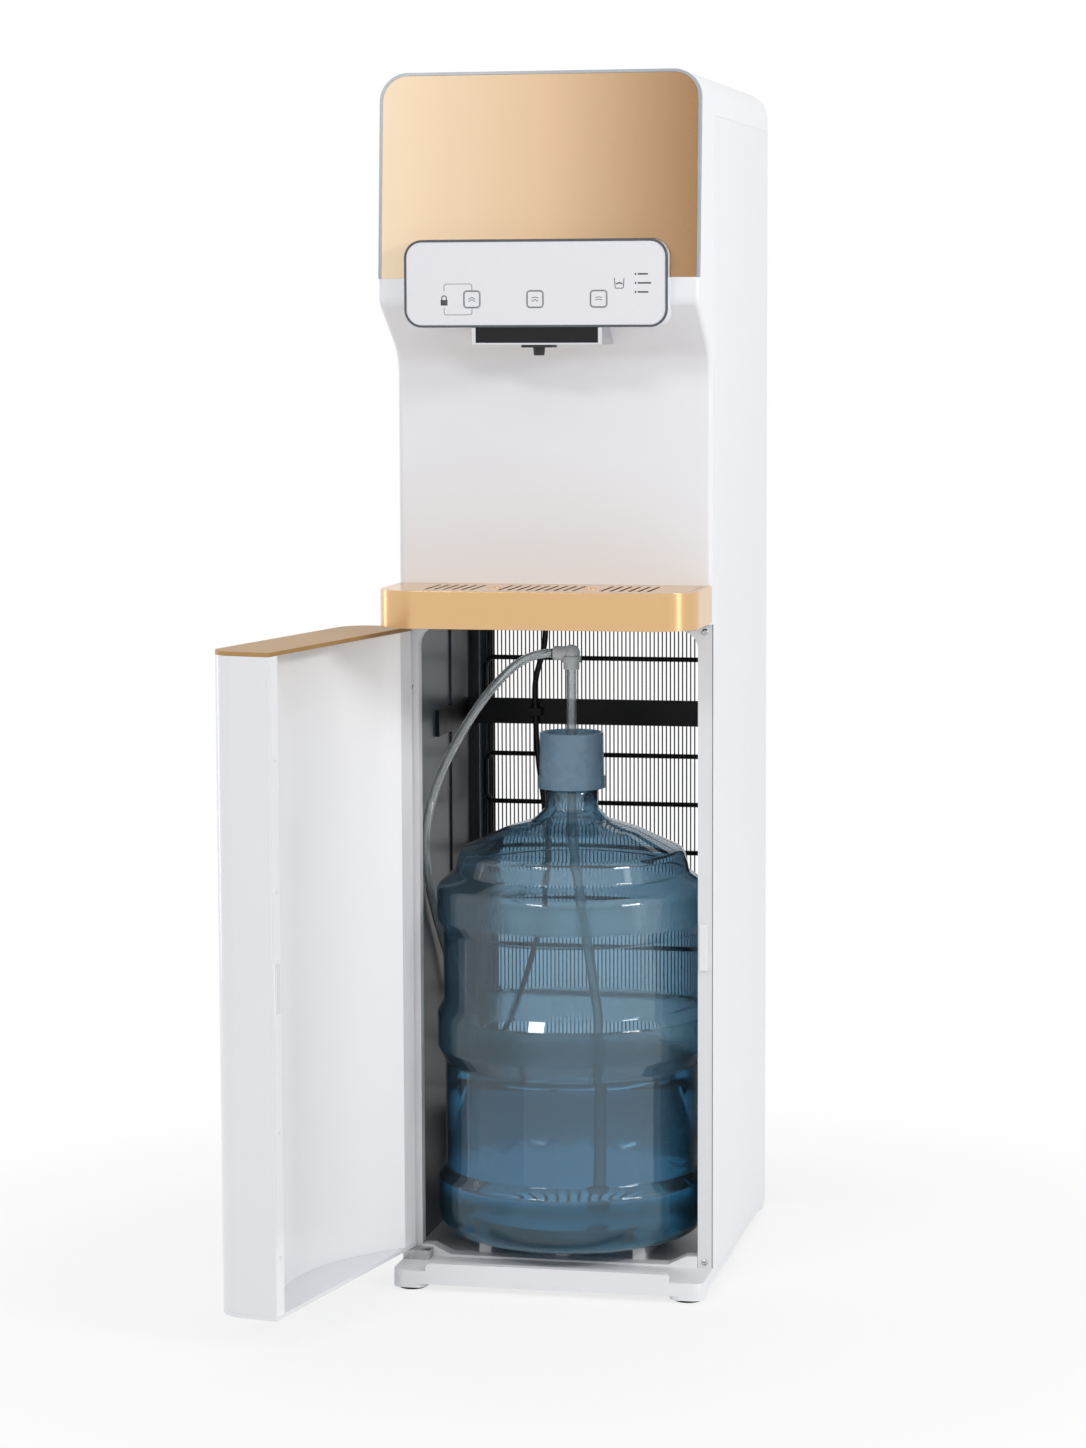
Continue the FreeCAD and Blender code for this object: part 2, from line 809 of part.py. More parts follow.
def drip_basin():
    gap = grille_gap
    rim = plan_prism(basin_plan(gap), tray_top - grille_thick - basin_wall, tray_top - grille_thick)
    cup = plan_prism(basin_plan(tray_wall + gap), tray_bottom + tray_floor + seat_gap,
                     tray_top - grille_thick - basin_wall)
    hollow = plan_prism(basin_plan(tray_wall + gap + basin_wall),
                        tray_bottom + tray_floor + seat_gap + basin_wall, tray_top)
    return join([rim, cup]).cut(hollow)


def drip_grille():
    plate = plan_prism(basin_plan(grille_gap), tray_top - grille_thick, tray_top)
    y = (niche_y + tray_front) / 2
    slots = []
    for i in range(slot_count):
        x = (i - (slot_count - 1) / 2) * slot_pitch
        if abs(abs(x) - finger_x) > finger_r + slot_width:
            slots.append(plan_prism(rectangle(x - slot_width / 2, x + slot_width / 2, y - slot_length / 2,
                                              y + slot_length / 2, slot_width * 0.45),
                                    tray_top - grille_thick - 1, tray_top + 1))
    holes = [rod(finger_r, at(sx * finger_x, y, tray_top - 10), at(sx * finger_x, y, tray_top + 1))
             for sx in (-1, 1)]
    return plate.cut(slots + holes)


# ---- door, modelled closed and then swung open ----

def swing(shape):
    turned_shape = shape.copy()
    turned_shape.rotate(at(hinge_x, hinge_y, 0), at(0, 0, 1), -open_angle)
    return turned_shape


def door_plan(inset, back):
    return [(-half_width + inset, back, 0), (-half_width + inset, door_front + inset, door_front_r - inset),
            (half_width - inset, door_front + inset, door_front_r - inset), (half_width - inset, back, 0)]


def door_skin():
    low, high = door_bottom + door_cap_thick, door_top - door_cap_thick
    outer = plan_prism(door_plan(0, door_back), low, high)
    inner = plan_prism(door_plan(door_skin_thick, door_back + 1), low - 1, high + 1)
    return swing(outer.cut(inner))


def liner_wire(shift):
    """Closed plan of the hollow inner panel: two flat edges and one long concave arc."""
    left = -half_width + door_skin_thick
    right = half_width - door_skin_thick
    a = left + stile_width
    b = right - liner_flange
    deep = door_back - liner_reach - shift
    face = door_back - shift
    mid = (a + b) / 2
    return left, right, a, b, mid, face, deep


def door_liner():
    low, high = door_bottom + door_cap_thick, door_top - door_cap_thick
    left, right, a, b, mid, face, deep = liner_wire(0)
    under = liner_wire(liner_thick)
    front_arc = Part.Arc(at(a, face, low), at(mid, deep, low), at(b, face, low)).toShape()
    back_arc = Part.Arc(at(b, under[5], low), at(mid, under[6], low), at(a, under[5], low)).toShape()
    lines = [Part.LineSegment(at(left, face, low), at(a, face, low)).toShape(), front_arc,
             Part.LineSegment(at(b, face, low), at(right, face, low)).toShape(),
             Part.LineSegment(at(right, face, low), at(right, under[5], low)).toShape(),
             Part.LineSegment(at(right, under[5], low), at(b, under[5], low)).toShape(), back_arc,
             Part.LineSegment(at(a, under[5], low), at(left, under[5], low)).toShape(),
             Part.LineSegment(at(left, under[5], low), at(left, face, low)).toShape()]
    panel = Part.Face(Part.Wire(lines)).extrude(at(0, 0, high - low))
    return swing(panel)


def door_cap(z0, z1):
    cap = plan_prism(door_plan(0, door_back), z0, z1)
    bore = rod(hinge_pin_r + pin_gap, at(hinge_x, hinge_y, z0 - 1), at(hinge_x, hinge_y, z1 + 1))
    return swing(cap.cut(bore))


def door_top_cap():
    return door_cap(door_top - door_cap_thick, door_top)


def door_bottom_cap():
    return door_cap(door_bottom, door_bottom + door_cap_thick)


def door_catch():
    """Steel strike plate on the free edge flange that the magnet holds."""
    x = half_width - door_skin_thick - liner_flange / 2
    wide, high = magnet_size
    return swing(block(x - wide / 2, x + wide / 2, door_back, door_back + catch_thick,
                       latch_z - high / 2, latch_z + high / 2))


def door_magnet():
    x = half_width - door_skin_thick - liner_flange / 2
    wide, high = magnet_size
    return block(x - wide / 2, x + wide / 2, door_back + catch_thick + seat_gap, 0,
                 latch_z - high / 2, latch_z + high / 2)


def hinge_pivots():
    """Pivot pins: one stands on the base's front bar, one hangs from a tongue above the opening."""
    x0, x1 = hinge_x - 5, hinge_x + 22
    foot = block(x0, x1, hinge_y - 12, -base_plate / 2 - seat_gap, ledge_top, door_bottom - seat_gap)
    low_pin = rod(hinge_pin_r, at(hinge_x, hinge_y, ledge_top),
                  at(hinge_x, hinge_y, door_bottom + door_cap_thick))
    z = door_top + seat_gap
    tongue = block(x0, x1, hinge_y - 12, 0, z, z + hinge_plate)
    high_pin = rod(hinge_pin_r, at(hinge_x, hinge_y, door_top - door_cap_thick),
                   at(hinge_x, hinge_y, z + hinge_plate))
    return Part.makeCompound([join([foot, low_pin]), join([tongue, high_pin])])


# ---- condenser ----

def coil_points():
    """Serpentine in one upright plane; its tail steps back and rises through the deck to the drier."""
    points = [(coil_end_x, condenser_y, deck_top + 14)]
    side = 1
    for row in range(coil_rows):
        z = coil_top - row * coil_pitch
        points.append((side * coil_end_x, condenser_y, z))
        side = -side
        points.append((side * coil_end_x, condenser_y, z))
    x, y, z = points[-1]
    return points + [(x, y + return_step, z), (x, y + return_step, drier_low)]


def condenser_tube():
    return tube("condenser_tube", coil_points(), coil_r, bend=coil_bend)


def condenser_wires():
    def wire(x):
        y = condenser_y - coil_r - wire_r
        return rod(wire_r, at(x, y, wire_low), at(x, y, wire_high))
    middle = (wire_count - 1) / 2
    return pattern(wire, [((i - middle) * wire_pitch,) for i in range(wire_count)])


def condenser_brackets():
    """Angle on each side wall, with a saddle behind every third row of the coil."""
    low = base_floor + 20
    high = deck_top - sheet

    def bracket(side):
        outer = block(inside_x - bracket_thick, inside_x, bracket_front, condenser_y + saddle_back, low, high)
        web = block(coil_end_x + 8, inside_x, condenser_y + coil_r, condenser_y + saddle_back, low, high)
        saddles = [block(coil_end_x - 12, coil_end_x + 8, condenser_y + coil_r, condenser_y + saddle_back,
                         coil_top - row * coil_pitch - 5, coil_top - row * coil_pitch + 5)
                   for row in range(1, coil_rows - 1, 3)]
        arm = join([outer, web] + saddles)
        return arm if side > 0 else arm.mirror(at(0, 0, 0), at(1, 0, 0))
    return pattern(bracket, [(1,), (-1,)])


def rear_crossbar():
    """Black strap across the back of the bottle bay, folded forward along both side walls."""
    x = inside_x - bracket_thick
    middle = block(-x, x, bar_y, bar_y + bar_thick, bar_bottom, bar_top)
    ends = [block(min(s * x, s * (x - bar_thick)), max(s * x, s * (x - bar_thick)), bar_front,
                  bar_y + bar_thick, bar_bottom, bar_top) for s in (-1, 1)]
    pads = [block(min(s * inside_x, s * x), max(s * inside_x, s * x), bar_front, bracket_front,
                  bar_bottom, bar_top) for s in (-1, 1)]
    return Part.makeCompound([join([middle] + ends + pads), tube_clip()])


# ---- bottle ----

def bottle_outline(inset):
    """Outer or inner line of the bottle, from the axis at the bottom round to the axis at the top."""
    base = bottle_base_z + inset
    ring = bottle_r - inset
    waist = bottle_r - 6 - inset
    low = bottle_r - 7.5 - inset
    terrace = terrace_r - inset
    neck = neck_r - inset
    sink = inset * 0.8
    top = neck_top + (1 if inset else 0)
    return [(0, base + punt, 0), (72, base + punt, 10), (92, base, 10), (ring - 6, base, 20),
            (ring, base + 24, 22), (ring, base_ring_top, 6), (low, low_band[0], 6), (low, low_band[1], 6),
            (ring, middle_ring[0], 6), (ring, middle_ring[1], 6), (waist, waist_band[0], 6),
            (waist, waist_band[1], 6), (ring, top_ring[0], 6), (ring, top_ring[1] - sink, 12),
            (terrace, terrace_z - sink, 5), (terrace - terrace_lean, terrace_z + terrace_rise - sink, 11),
            (dome_r, dome_z - sink, 60), (neck + 12, neck_foot - sink, 14), (neck, neck_low - sink, 8),
            (neck, top, 0), (0, top, 0)]


def bottle():
    outer = turned(bottle_outline(0), bottle_x, bottle_y)
    inner = turned(bottle_outline(bottle_wall), bottle_x, bottle_y)
    return outer.cut(inner)


def bottle_water():
    inner = turned(bottle_outline(bottle_wall + seat_gap), bottle_x, bottle_y)
    keep = rod(bottle_r, at(bottle_x, bottle_y, 0), at(bottle_x, bottle_y, water_level))
    x, y, z = dip_points()[-1]
    foot = rod(foot_r + seat_gap, at(x, y, z - foot_low - seat_gap), at(x, y, z + foot_high + seat_gap))
    pipe_space = tube("dip_clearance", dip_points(), dip_r + seat_gap, bend=dip_bend)
    return inner.common(keep).cut([pipe_space, foot])


def bottle_cap():
    """Cap over the neck, with a seat on the rim, a hollow above it and a dished top round the pipe."""
    body = turned([(0, cap_bottom, 0), (cap_r - 0.6, cap_bottom, 1.5), (cap_r, cap_top - 6, 0),
                   (cap_r, cap_top, 2), (0, cap_top, 0)], bottle_x, bottle_y)

    def well(radius, low, high):
        return rod(radius, at(bottle_x, bottle_y, low), at(bottle_x, bottle_y, high))
    wells = [well(neck_r + seat_gap, cap_bottom - 1, neck_top), well(neck_r - 4, neck_top - 1, neck_top + 3),
             well(cap_r - cap_wall, neck_top + 2, cap_web - 2), well(dip_r + 0.1, cap_web - 3, cap_top),
             well(cap_r - cap_wall, cap_web, cap_top + 1)]
    return body.cut(wells)


def dip_points():
    """The suction pipe leaves the elbow straight down, then bows a little to one side."""
    return [(bottle_x, bottle_y, elbow_low), (bottle_x, bottle_y, 430), (bottle_x + 26, bottle_y + 4, 250),
            (bottle_x + 20, bottle_y, dip_bottom)]


def dip_tube():
    pipe_body = tube("dip_tube", dip_points(), dip_r, dip_bore, bend=dip_bend)
    return Part.makeCompound([pipe_body, probe_foot()])


def probe_foot():
    """Slotted strainer pushed on the lower end of the suction pipe."""
    x, y, z = dip_points()[-1]
    body = turned([(0, z - foot_low, 0), (foot_r - 2, z - foot_low, 0), (foot_r, z - 5, 1),
                   (foot_r, z + 10, 1), (dip_r + 1.5, z + foot_high, 0), (0, z + foot_high, 0)], x, y)
    socket = tube("probe_socket", dip_points(), dip_r, bend=dip_bend)
    slots = [block(x - foot_r - 1, x + foot_r + 1, y - 1, y + 1, z - 6, z - 1),
             block(x - 1, x + 1, y - foot_r - 1, y + foot_r + 1, z - 6, z - 1)]
    return body.cut([socket] + slots)


def probe_elbow():
    """Elbow on top of the suction pipe: a collared socket downwards and a spigot to the left."""
    x, y = bottle_x, bottle_y
    socket = rod(elbow_r, at(x, y, elbow_low), at(x, y, elbow_z))
    collar = rod(elbow_r + 1.6, at(x, y, elbow_low + 7), at(x, y, elbow_low + 13))
    crown = Part.makeSphere(elbow_r + 0.6, at(x, y, elbow_z))
    arm = rod(elbow_r - 1, at(x - elbow_reach, y, elbow_z), at(x, y, elbow_z))
    bore_down = rod(dip_bore, at(x, y, elbow_low - 1), at(x, y, elbow_z))
    bore_side = rod(hose_bore, at(x - elbow_reach - 1, y, elbow_z), at(x, y, elbow_z))
    return join([socket, collar, crown, arm]).cut([bore_down, bore_side])


# ---- hoses ----

def hose_points():
    """Clear hose: it leaves the elbow sideways, arches down to the left wall and goes back to the pump."""
    return [(bottle_x - elbow_reach, bottle_y, elbow_z), (bottle_x - 44, bottle_y, elbow_z), (-86, 83, 582),
            (-119, 81, 532), (-141, 74, 484), (-147.5, 54, 442), (-147.5, 62, 396), (-147.0, 95, 352),
            (-146.0, 138, 306), (-143.0, 180, 258), (-136.0, 216, 214), (pump_x, pump_y, 176),
            (pump_x, pump_y, pump_port)]


def water_hose():
    return tube("water_hose", hose_points(), hose_r, hose_bore)


def riser_points():
    """Black delivery tube: from the cold tank down behind it, over the crossbar and down to the pump."""
    x, y = riser_x, riser_y
    top = cold_low() + cold_height
    return [(x, cold_y, top), (x, cold_y, riser_over), (riser_top_x, y, riser_over), (riser_top_x, y, 760),
            (x, y, 720), (x, y, 610), (x - 12, y, 575),
            (x - 10, y, 500), (x + 2, y - 2, 420), (x, y - 4, 340), (x - 20, y - 10, 260),
            (pump_x + pump_out, pump_y + 4, 190), (pump_x + pump_out, pump_y, pump_port + 20),
            (pump_x + pump_out, pump_y, pump_port)]


def riser_tube():
    return tube("riser_tube", riser_points(), riser_r, riser_r - 1)


def tube_clip():
    """Clip that holds the black tube on the crossbar."""
    x = riser_x - 11
    z = (bar_bottom + bar_top) / 2
    body = block(x - 7, x + 7, riser_y - riser_r - 2, bar_y, z - 4, z + 4)
    return body.cut(tube("clip_bore", riser_points(), riser_r + 0.1))


def water_pump():
    """Pump pot on a rubber mount, with an inlet port for the hose and an outlet port for the black tube."""
    def upright(x, radius, low, high):
        return rod(radius, at(x, pump_y, low), at(x, pump_y, high))
    out_x = pump_x + pump_out
    seat = base_floor + pump_mount
    base = upright(pump_x, pump_r, seat, pump_top)
    head = upright(pump_x, pump_r + 2, pump_top - 22, pump_top - 6)
    inlet = upright(pump_x, hose_r + 1, pump_top, pump_port)
    outlet = upright(out_x, riser_r + 1, pump_top - 2, pump_port)
    bores = [upright(pump_x, hose_bore, pump_top + 4, pump_port + 1),
             upright(out_x, riser_r - 1, pump_top + 4, pump_port + 1)]
    mount = upright(pump_x, pump_r - 2, base_floor, seat)
    return Part.makeCompound([join([base, head, inlet, outlet]).cut(bores), mount])


# ---- machine bay ----

def tank_shelf():
    plate = block(-inside_x, inside_x, fascia_back + 20, body_depth - 2 * sheet,
                  shelf_z - shelf_thick, shelf_z)
    ports = [(riser_top_x, riser_y), (suction_x, line_y), (capillary_x, line_y)]
    holes = [rod(shelf_port_r, at(x, y, shelf_z - 10), at(x, y, shelf_z + 10)) for x, y in ports]
    return plate.cut(holes)


def mount_places():
    return [(compressor_x + sx * mount_x, compressor_y + sy * mount_y)
            for sx in (-1, 1) for sy in (-1, 1)]


def compressor():
    """Welded pot in two halves, on a flat plate. Its wall is thick, to weigh as much as the motor in it."""
    x, y = compressor_x, compressor_y
    middle = (compressor_low + compressor_high) / 2

    def pot_form(inset):
        low, high = compressor_low + inset, compressor_high - inset
        wide, end = compressor_r - inset, compressor_r - 6 - inset
        return turned([(0, low, 0), (end, low, 14), (wide, middle - 6, 8), (wide, middle + 6, 8),
                       (end, high, 26), (0, high, 0)], x, y)
    seam = rod(compressor_r + seam_proud, at(x, y, middle - seam_proud), at(x, y, middle + seam_proud))
    plate = block(x - mount_x - 10, x + mount_x + 10, y - mount_y - 8, y + mount_y + 8,
                  compressor_low - plate_under, compressor_low)
    holes = [rod(mount_r + 0.1, at(*place, compressor_low - 9), at(*place, compressor_low + 1))
             for place in mount_places()]
    return join([pot_form(0), seam, plate]).cut(holes + [pot_form(pot_wall)])


def compressor_mounts():
    def mount(x, y):
        foot = rod(mount_r + 4, at(x, y, deck_top), at(x, y, compressor_low - plate_under))
        stem = rod(mount_r, at(x, y, compressor_low - plate_under), at(x, y, compressor_low + 3))
        return join([foot, stem])
    return pattern(mount, mount_places())


def cold_low():
    return shelf_z + foam


def drain_line():
    """Drain stub of the cold tank, out through the foam and the back panel."""
    y = body_depth - sheet
    stub = rod(drain_r, at(cold_x, cold_y, drain_z), at(cold_x, y + drain_proud, drain_z))
    collar = rod(drain_r + 5, at(cold_x, y, drain_z), at(cold_x, y + 3, drain_z))
    return join([stub, collar])


def cold_tank():
    low = cold_low()
    high = low + cold_height
    body = turned([(0, low, 0), (cold_r, low, 8), (cold_r, high, 8), (0, high, 0)], cold_x, cold_y)
    inner = turned([(0, low + 1, 0), (cold_r - 1, low + 1, 7), (cold_r - 1, high - 1, 7), (0, high - 1, 0)],
                   cold_x, cold_y)
    y = body_depth - sheet + drain_proud
    bore = rod(drain_r - drain_wall, at(cold_x, cold_y, drain_z), at(cold_x, y + 1, drain_z))
    return join([body, drain_line()]).cut([inner, bore])


def evaporator_coil():
    """Flat windings of refrigerant tube round the cold tank, one ring to a turn."""
    def ring(z):
        return Part.makeTorus(cold_r + line_r + 0.2, line_r, at(cold_x, cold_y, z), at(0, 0, 1))
    low = cold_low() + cold_height - coil_band
    return pattern(ring, [(low + i * turn_pitch,) for i in range(turn_count)])


def tank_insulation():
    low = shelf_z
    high = cold_low() + cold_height + foam
    half = cold_r + foam
    body = plan_prism(rectangle(cold_x - half, cold_x + half, cold_y - half, cold_y + half, 14), low, high)
    hollow = rod(cold_r + 2 * line_r + 1, at(cold_x, cold_y, cold_low()), at(cold_x, cold_y, high - foam))
    outlet = rod(silicone_r + 0.3, at(cold_x, cold_y - half - 1, cold_port_z),
                 at(cold_x, cold_y, cold_port_z))
    drain = rod(drain_r + 0.2, at(cold_x, cold_y, drain_z), at(cold_x, cold_y + half + 1, drain_z))
    inlet = rod(riser_r + 0.3, at(cold_x, cold_y, high - foam - 1), at(cold_x, cold_y, high + 1))
    lines = [rod(line_r + 0.3, at(x, cold_y, z), at(x, cold_y + half + 1, z))
             for x, z in ((suction_x, cold_port_z + 70), (capillary_x, cold_port_z + 20))]
    return body.cut([hollow, outlet, drain, inlet] + lines)


def hot_tank():
    low = shelf_z + tank_foot
    high = low + hot_height
    body = turned([(0, low, 0), (hot_r, low, 10), (hot_r, high, 10), (0, high, 0)], hot_x, hot_y)
    inner = turned([(0, low + 1, 0), (hot_r - 1, low + 1, 9), (hot_r - 1, high - 1, 9), (0, high - 1, 0)],
                   hot_x, hot_y)
    angles = [math.radians(tau * i / leg_count + 30) for i in range(leg_count)]
    legs = [rod(4, at(hot_x + leg_ring * math.cos(a), hot_y + leg_ring * math.sin(a), shelf_z),
                at(hot_x + leg_ring * math.cos(a), hot_y + leg_ring * math.sin(a), low + 1)) for a in angles]
    return join([body] + legs).cut(inner)


def heater_band():
    """Clamped band heater round the hot tank, split at the front."""
    low = shelf_z + tank_foot + 30
    high = low + band_height
    band = rod(hot_r + 4, at(hot_x, hot_y, low), at(hot_x, hot_y, high))
    ears = block(hot_x - 6, hot_x + 6, hot_y - hot_r - 14, hot_y - hot_r - 2, low + 10, high - 10)
    hole = rod(hot_r + 0.05, at(hot_x, hot_y, low - 1), at(hot_x, hot_y, high + 1))
    slit = block(hot_x - 1.5, hot_x + 1.5, hot_y - hot_r - 20, hot_y - hot_r + 2, low - 1, high + 1)
    return join([band, ears]).cut([hole, slit])


def valve_bracket():
    """Steel strip across the machine bay, between the side panels."""
    return block(-inside_x, inside_x, valve_y - 2, valve_y, valve_z - 22, valve_z + 34)


def solenoid_valves():
    """Two valves on a cross strip, one for each temperature."""
    middle = valve_y + valve_size / 2

    def valve(x):
        coil = block(x - valve_size / 2, x + valve_size / 2, valve_y, valve_y + valve_size, valve_z,
                     valve_z + valve_size)
        stem = rod(7, at(x, middle, valve_z + valve_size), at(x, middle, valve_z + valve_size + 10))
        body = block(x - 9, x + 9, valve_y + 3, valve_y + valve_size - 3, valve_z - 16, valve_z)
        return join([coil, stem, body])
    return Part.makeCompound([valve(-valve_x), valve(valve_x), valve_bracket()])


def silicone_tubes():
    """Tubes from the tanks to the valves, and from the valves under the head to the nozzle."""
    middle = valve_y + valve_size / 2
    port = valve_z - valve_body
    stem_top = control_bottom + stem_rise
    cold_front = cold_y - cold_r
    hot_front = hot_y - hot_r
    side_port = valve_z - valve_body / 2
    cold = tube("cold_tube", [(cold_x, cold_front, cold_port_z), (cold_x, middle, cold_port_z),
                              (cold_x, middle, side_port), (-valve_x - 9, middle, side_port)],
                silicone_r, silicone_bore, bend=silicone_bend)
    hot = tube("hot_tube", [(hot_x, hot_front, hot_port_z), (hot_x, middle, hot_port_z),
                            (hot_x, middle, side_port), (valve_x + 9, middle, side_port)],
               silicone_r, silicone_bore, bend=silicone_bend)

    def drop(name, x, end):
        route = [(x, middle, port), (x, middle, port - 26), (x, -30, port - 34),
                 (end, nozzle_y, stem_top + 16), (end, nozzle_y, stem_top)]
        return tube(name, route, drop_r, drop_bore, bend=9.0)
    drops = [drop("cold_drop", -valve_x, -tee_x), drop("hot_drop", valve_x, tee_x)]
    return Part.makeCompound([cold, hot] + drops)


def circuit_boards():
    """Key board behind the control panel and power board on the back panel, with their posts and parts."""
    y = body_depth - 2 * sheet
    left, right = power_x
    face = y - power_gap
    power = block(left, right, face, face + board_thick, power_bottom, power_top)
    posts = [rod(3, at(x, face + board_thick, z), at(x, y, z))
             for x in (left + 6, right - 6) for z in (power_bottom + 6, power_top - 6)]
    parts = [block(left + 8, left + 34, face - 22, face, power_top - 60, power_top - 20),
             block(right - 30, right - 12, face - 16, face, power_bottom + 20, power_bottom + 40)]
    return Part.makeCompound([join([power] + posts + parts), control_board()])


def refrigerant_lines():
    """Discharge line to the condenser, liquid line through the drier, capillary, and suction line."""
    x, y = compressor_x, compressor_y
    top = compressor_high
    port = stub_reach
    discharge = tube("discharge", [(x + port, y, top), (x + port, y, top + 10),
                                   (x + port, condenser_y, top + 10), (coil_end_x, condenser_y, top - 30),
                                   (coil_end_x, condenser_y, deck_top + 14)], line_r, bend=7.0)
    drier = turned([(0, drier_low, 0), (line_r, drier_low, 0), (line_r, drier_low + 8, 0),
                    (drier_r, drier_low + 16, 0), (drier_r, drier_high - 12, 0), (line_r, drier_high, 0),
                    (0, drier_high, 0)], -coil_end_x, condenser_y + return_step)
    capillary = tube("capillary", [(-coil_end_x, condenser_y + return_step, drier_high),
                                   (-coil_end_x, condenser_y + return_step, shelf_z - 20),
                                   (capillary_x, line_y, shelf_z - 14),
                                   (capillary_x, line_y, cold_port_z + 20),
                                   (capillary_x, evaporator_back(capillary_x), cold_port_z + 20)],
                     capillary_r, bend=6.0)
    suction = tube("suction", [(x - port, y, top), (x - port, y, top + 10), (suction_x, line_y, top + 10),
                               (suction_x, line_y, cold_port_z + 70),
                               (suction_x, evaporator_back(suction_x), cold_port_z + 70)], line_r, bend=7.0)
    return Part.makeCompound([discharge, drier, capillary, suction])


def evaporator_back(x):
    """Y just behind the windings at a given X."""
    ring = cold_r + 2 * line_r + 0.4
    return cold_y + math.sqrt(ring ** 2 - (x - cold_x) ** 2)


def main():
    os.makedirs("parts", exist_ok=True)
    nodes = {
        "base_frame": base_frame(),
        "foot_pads": foot_pads(),
        "side_panel_left": side_panel(-1),
        "side_panel_right": side_panel(1),
        "front_frame": front_frame(),
        "frame_screws": frame_screws(),
        "deck_plate": deck_plate(),
        "deck_grommet": deck_grommet(),
        "top_cover": top_cover(),
        "back_panel": back_panel(),
        "switch_housing": switch_housing(),
        "rocker_heat": rocker(rocker_x[0]),
        "rocker_cool": rocker(rocker_x[1]),
        "cable_gland": cable_gland(),
        "drain_plug": drain_plug(),
        "fascia_shell": fascia_shell(),
        "gold_trim": gold_trim(),
        "gold_panel": gold_panel(),
        "control_housing": control_housing(),
        "control_bezel": control_bezel(),
        "control_plate": control_plate(),
        "outlet_housing": outlet_housing(),
        "outlet_trim": outlet_trim_frame(),
        "nozzle": nozzle(),
        "tray_body": tray_body(),
        "drip_basin": drip_basin(),
        "drip_grille": drip_grille(),
        "door_skin": door_skin(),
        "door_liner": door_liner(),
        "door_top_cap": door_top_cap(),
        "door_bottom_cap": door_bottom_cap(),
        "door_catch": door_catch(),
        "door_magnet": door_magnet(),
        "hinge_pivots": hinge_pivots(),
        "condenser_tube": condenser_tube(),
        "condenser_wires": condenser_wires(),
        "condenser_brackets": condenser_brackets(),
        "rear_crossbar": rear_crossbar(),
        "bottle": bottle(),
        "bottle_cap": bottle_cap(),
        "bottle_water": bottle_water(),
        "dip_tube": dip_tube(),
        "probe_elbow": probe_elbow(),
        "water_hose": water_hose(),
        "riser_tube": riser_tube(),
        "water_pump": water_pump(),
        "tank_shelf": tank_shelf(),
        "compressor": compressor(),
        "compressor_mounts": compressor_mounts(),
        "cold_tank": cold_tank(),
        "evaporator_coil": evaporator_coil(),
        "tank_insulation": tank_insulation(),
        "hot_tank": Part.makeCompound([hot_tank(), heater_band()]),
        "solenoid_valves": solenoid_valves(),
        "silicone_tubes": silicone_tubes(),
        "circuit_boards": circuit_boards(),
        "refrigerant_lines": refrigerant_lines(),
    }
    for name, x in key_places.items():
        nodes[name] = key(x)
    for name, shape in nodes.items():
        shape.exportStep("parts/" + name + ".step")
        print(name, len(shape.Solids), shape.isValid(), round(shape.Volume))


main()
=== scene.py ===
import json
import math
import bmesh
import bpy
import numpy as np
from mathutils import Matrix

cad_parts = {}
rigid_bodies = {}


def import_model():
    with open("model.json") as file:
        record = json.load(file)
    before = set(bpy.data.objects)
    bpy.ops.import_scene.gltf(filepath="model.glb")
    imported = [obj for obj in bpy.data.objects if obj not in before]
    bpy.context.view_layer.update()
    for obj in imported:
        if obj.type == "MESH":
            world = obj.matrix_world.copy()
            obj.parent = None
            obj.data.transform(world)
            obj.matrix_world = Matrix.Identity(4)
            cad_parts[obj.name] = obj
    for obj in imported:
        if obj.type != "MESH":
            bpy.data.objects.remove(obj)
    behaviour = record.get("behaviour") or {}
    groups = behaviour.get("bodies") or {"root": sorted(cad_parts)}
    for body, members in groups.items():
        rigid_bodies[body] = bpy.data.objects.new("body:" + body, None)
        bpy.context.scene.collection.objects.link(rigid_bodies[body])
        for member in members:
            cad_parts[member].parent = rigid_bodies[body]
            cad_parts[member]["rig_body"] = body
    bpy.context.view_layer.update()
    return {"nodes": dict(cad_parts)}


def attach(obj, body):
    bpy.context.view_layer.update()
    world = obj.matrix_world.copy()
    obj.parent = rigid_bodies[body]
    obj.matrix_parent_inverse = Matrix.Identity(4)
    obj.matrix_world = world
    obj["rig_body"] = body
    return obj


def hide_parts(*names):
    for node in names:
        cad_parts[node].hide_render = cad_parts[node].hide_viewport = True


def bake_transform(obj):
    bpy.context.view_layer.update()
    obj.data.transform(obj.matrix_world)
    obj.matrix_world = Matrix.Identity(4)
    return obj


# Bottom load water cooler, dressed for rendering. Metres, +Z up, front towards -Y.

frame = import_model()
nodes = frame["nodes"]
scene = bpy.context.scene
scene.view_settings.view_transform = "Standard"
mm = 0.001
print("frame loaded:", len(nodes), "nodes")


viewpoint = {"place": (0.7356, -3.6063, 0.9555), "turn": 11.747, "tilt": 83.819, "roll": -0.225,
             "lens": 94.0, "film": 36.0}


def makeCamera(settings):
    lens = bpy.data.cameras.new("camera")
    lens.sensor_fit = "VERTICAL"
    lens.sensor_height = settings["film"]
    lens.lens = settings["lens"]
    camera = bpy.data.objects.new("camera", lens)
    scene.collection.objects.link(camera)
    turns = [Matrix.Rotation(math.radians(settings[key]), 4, axis)
             for key, axis in (("turn", "Z"), ("tilt", "X"), ("roll", "Z"))]
    camera.matrix_world = Matrix.Translation(settings["place"]) @ turns[0] @ turns[1] @ turns[2]
    scene.camera = camera


makeCamera(viewpoint)


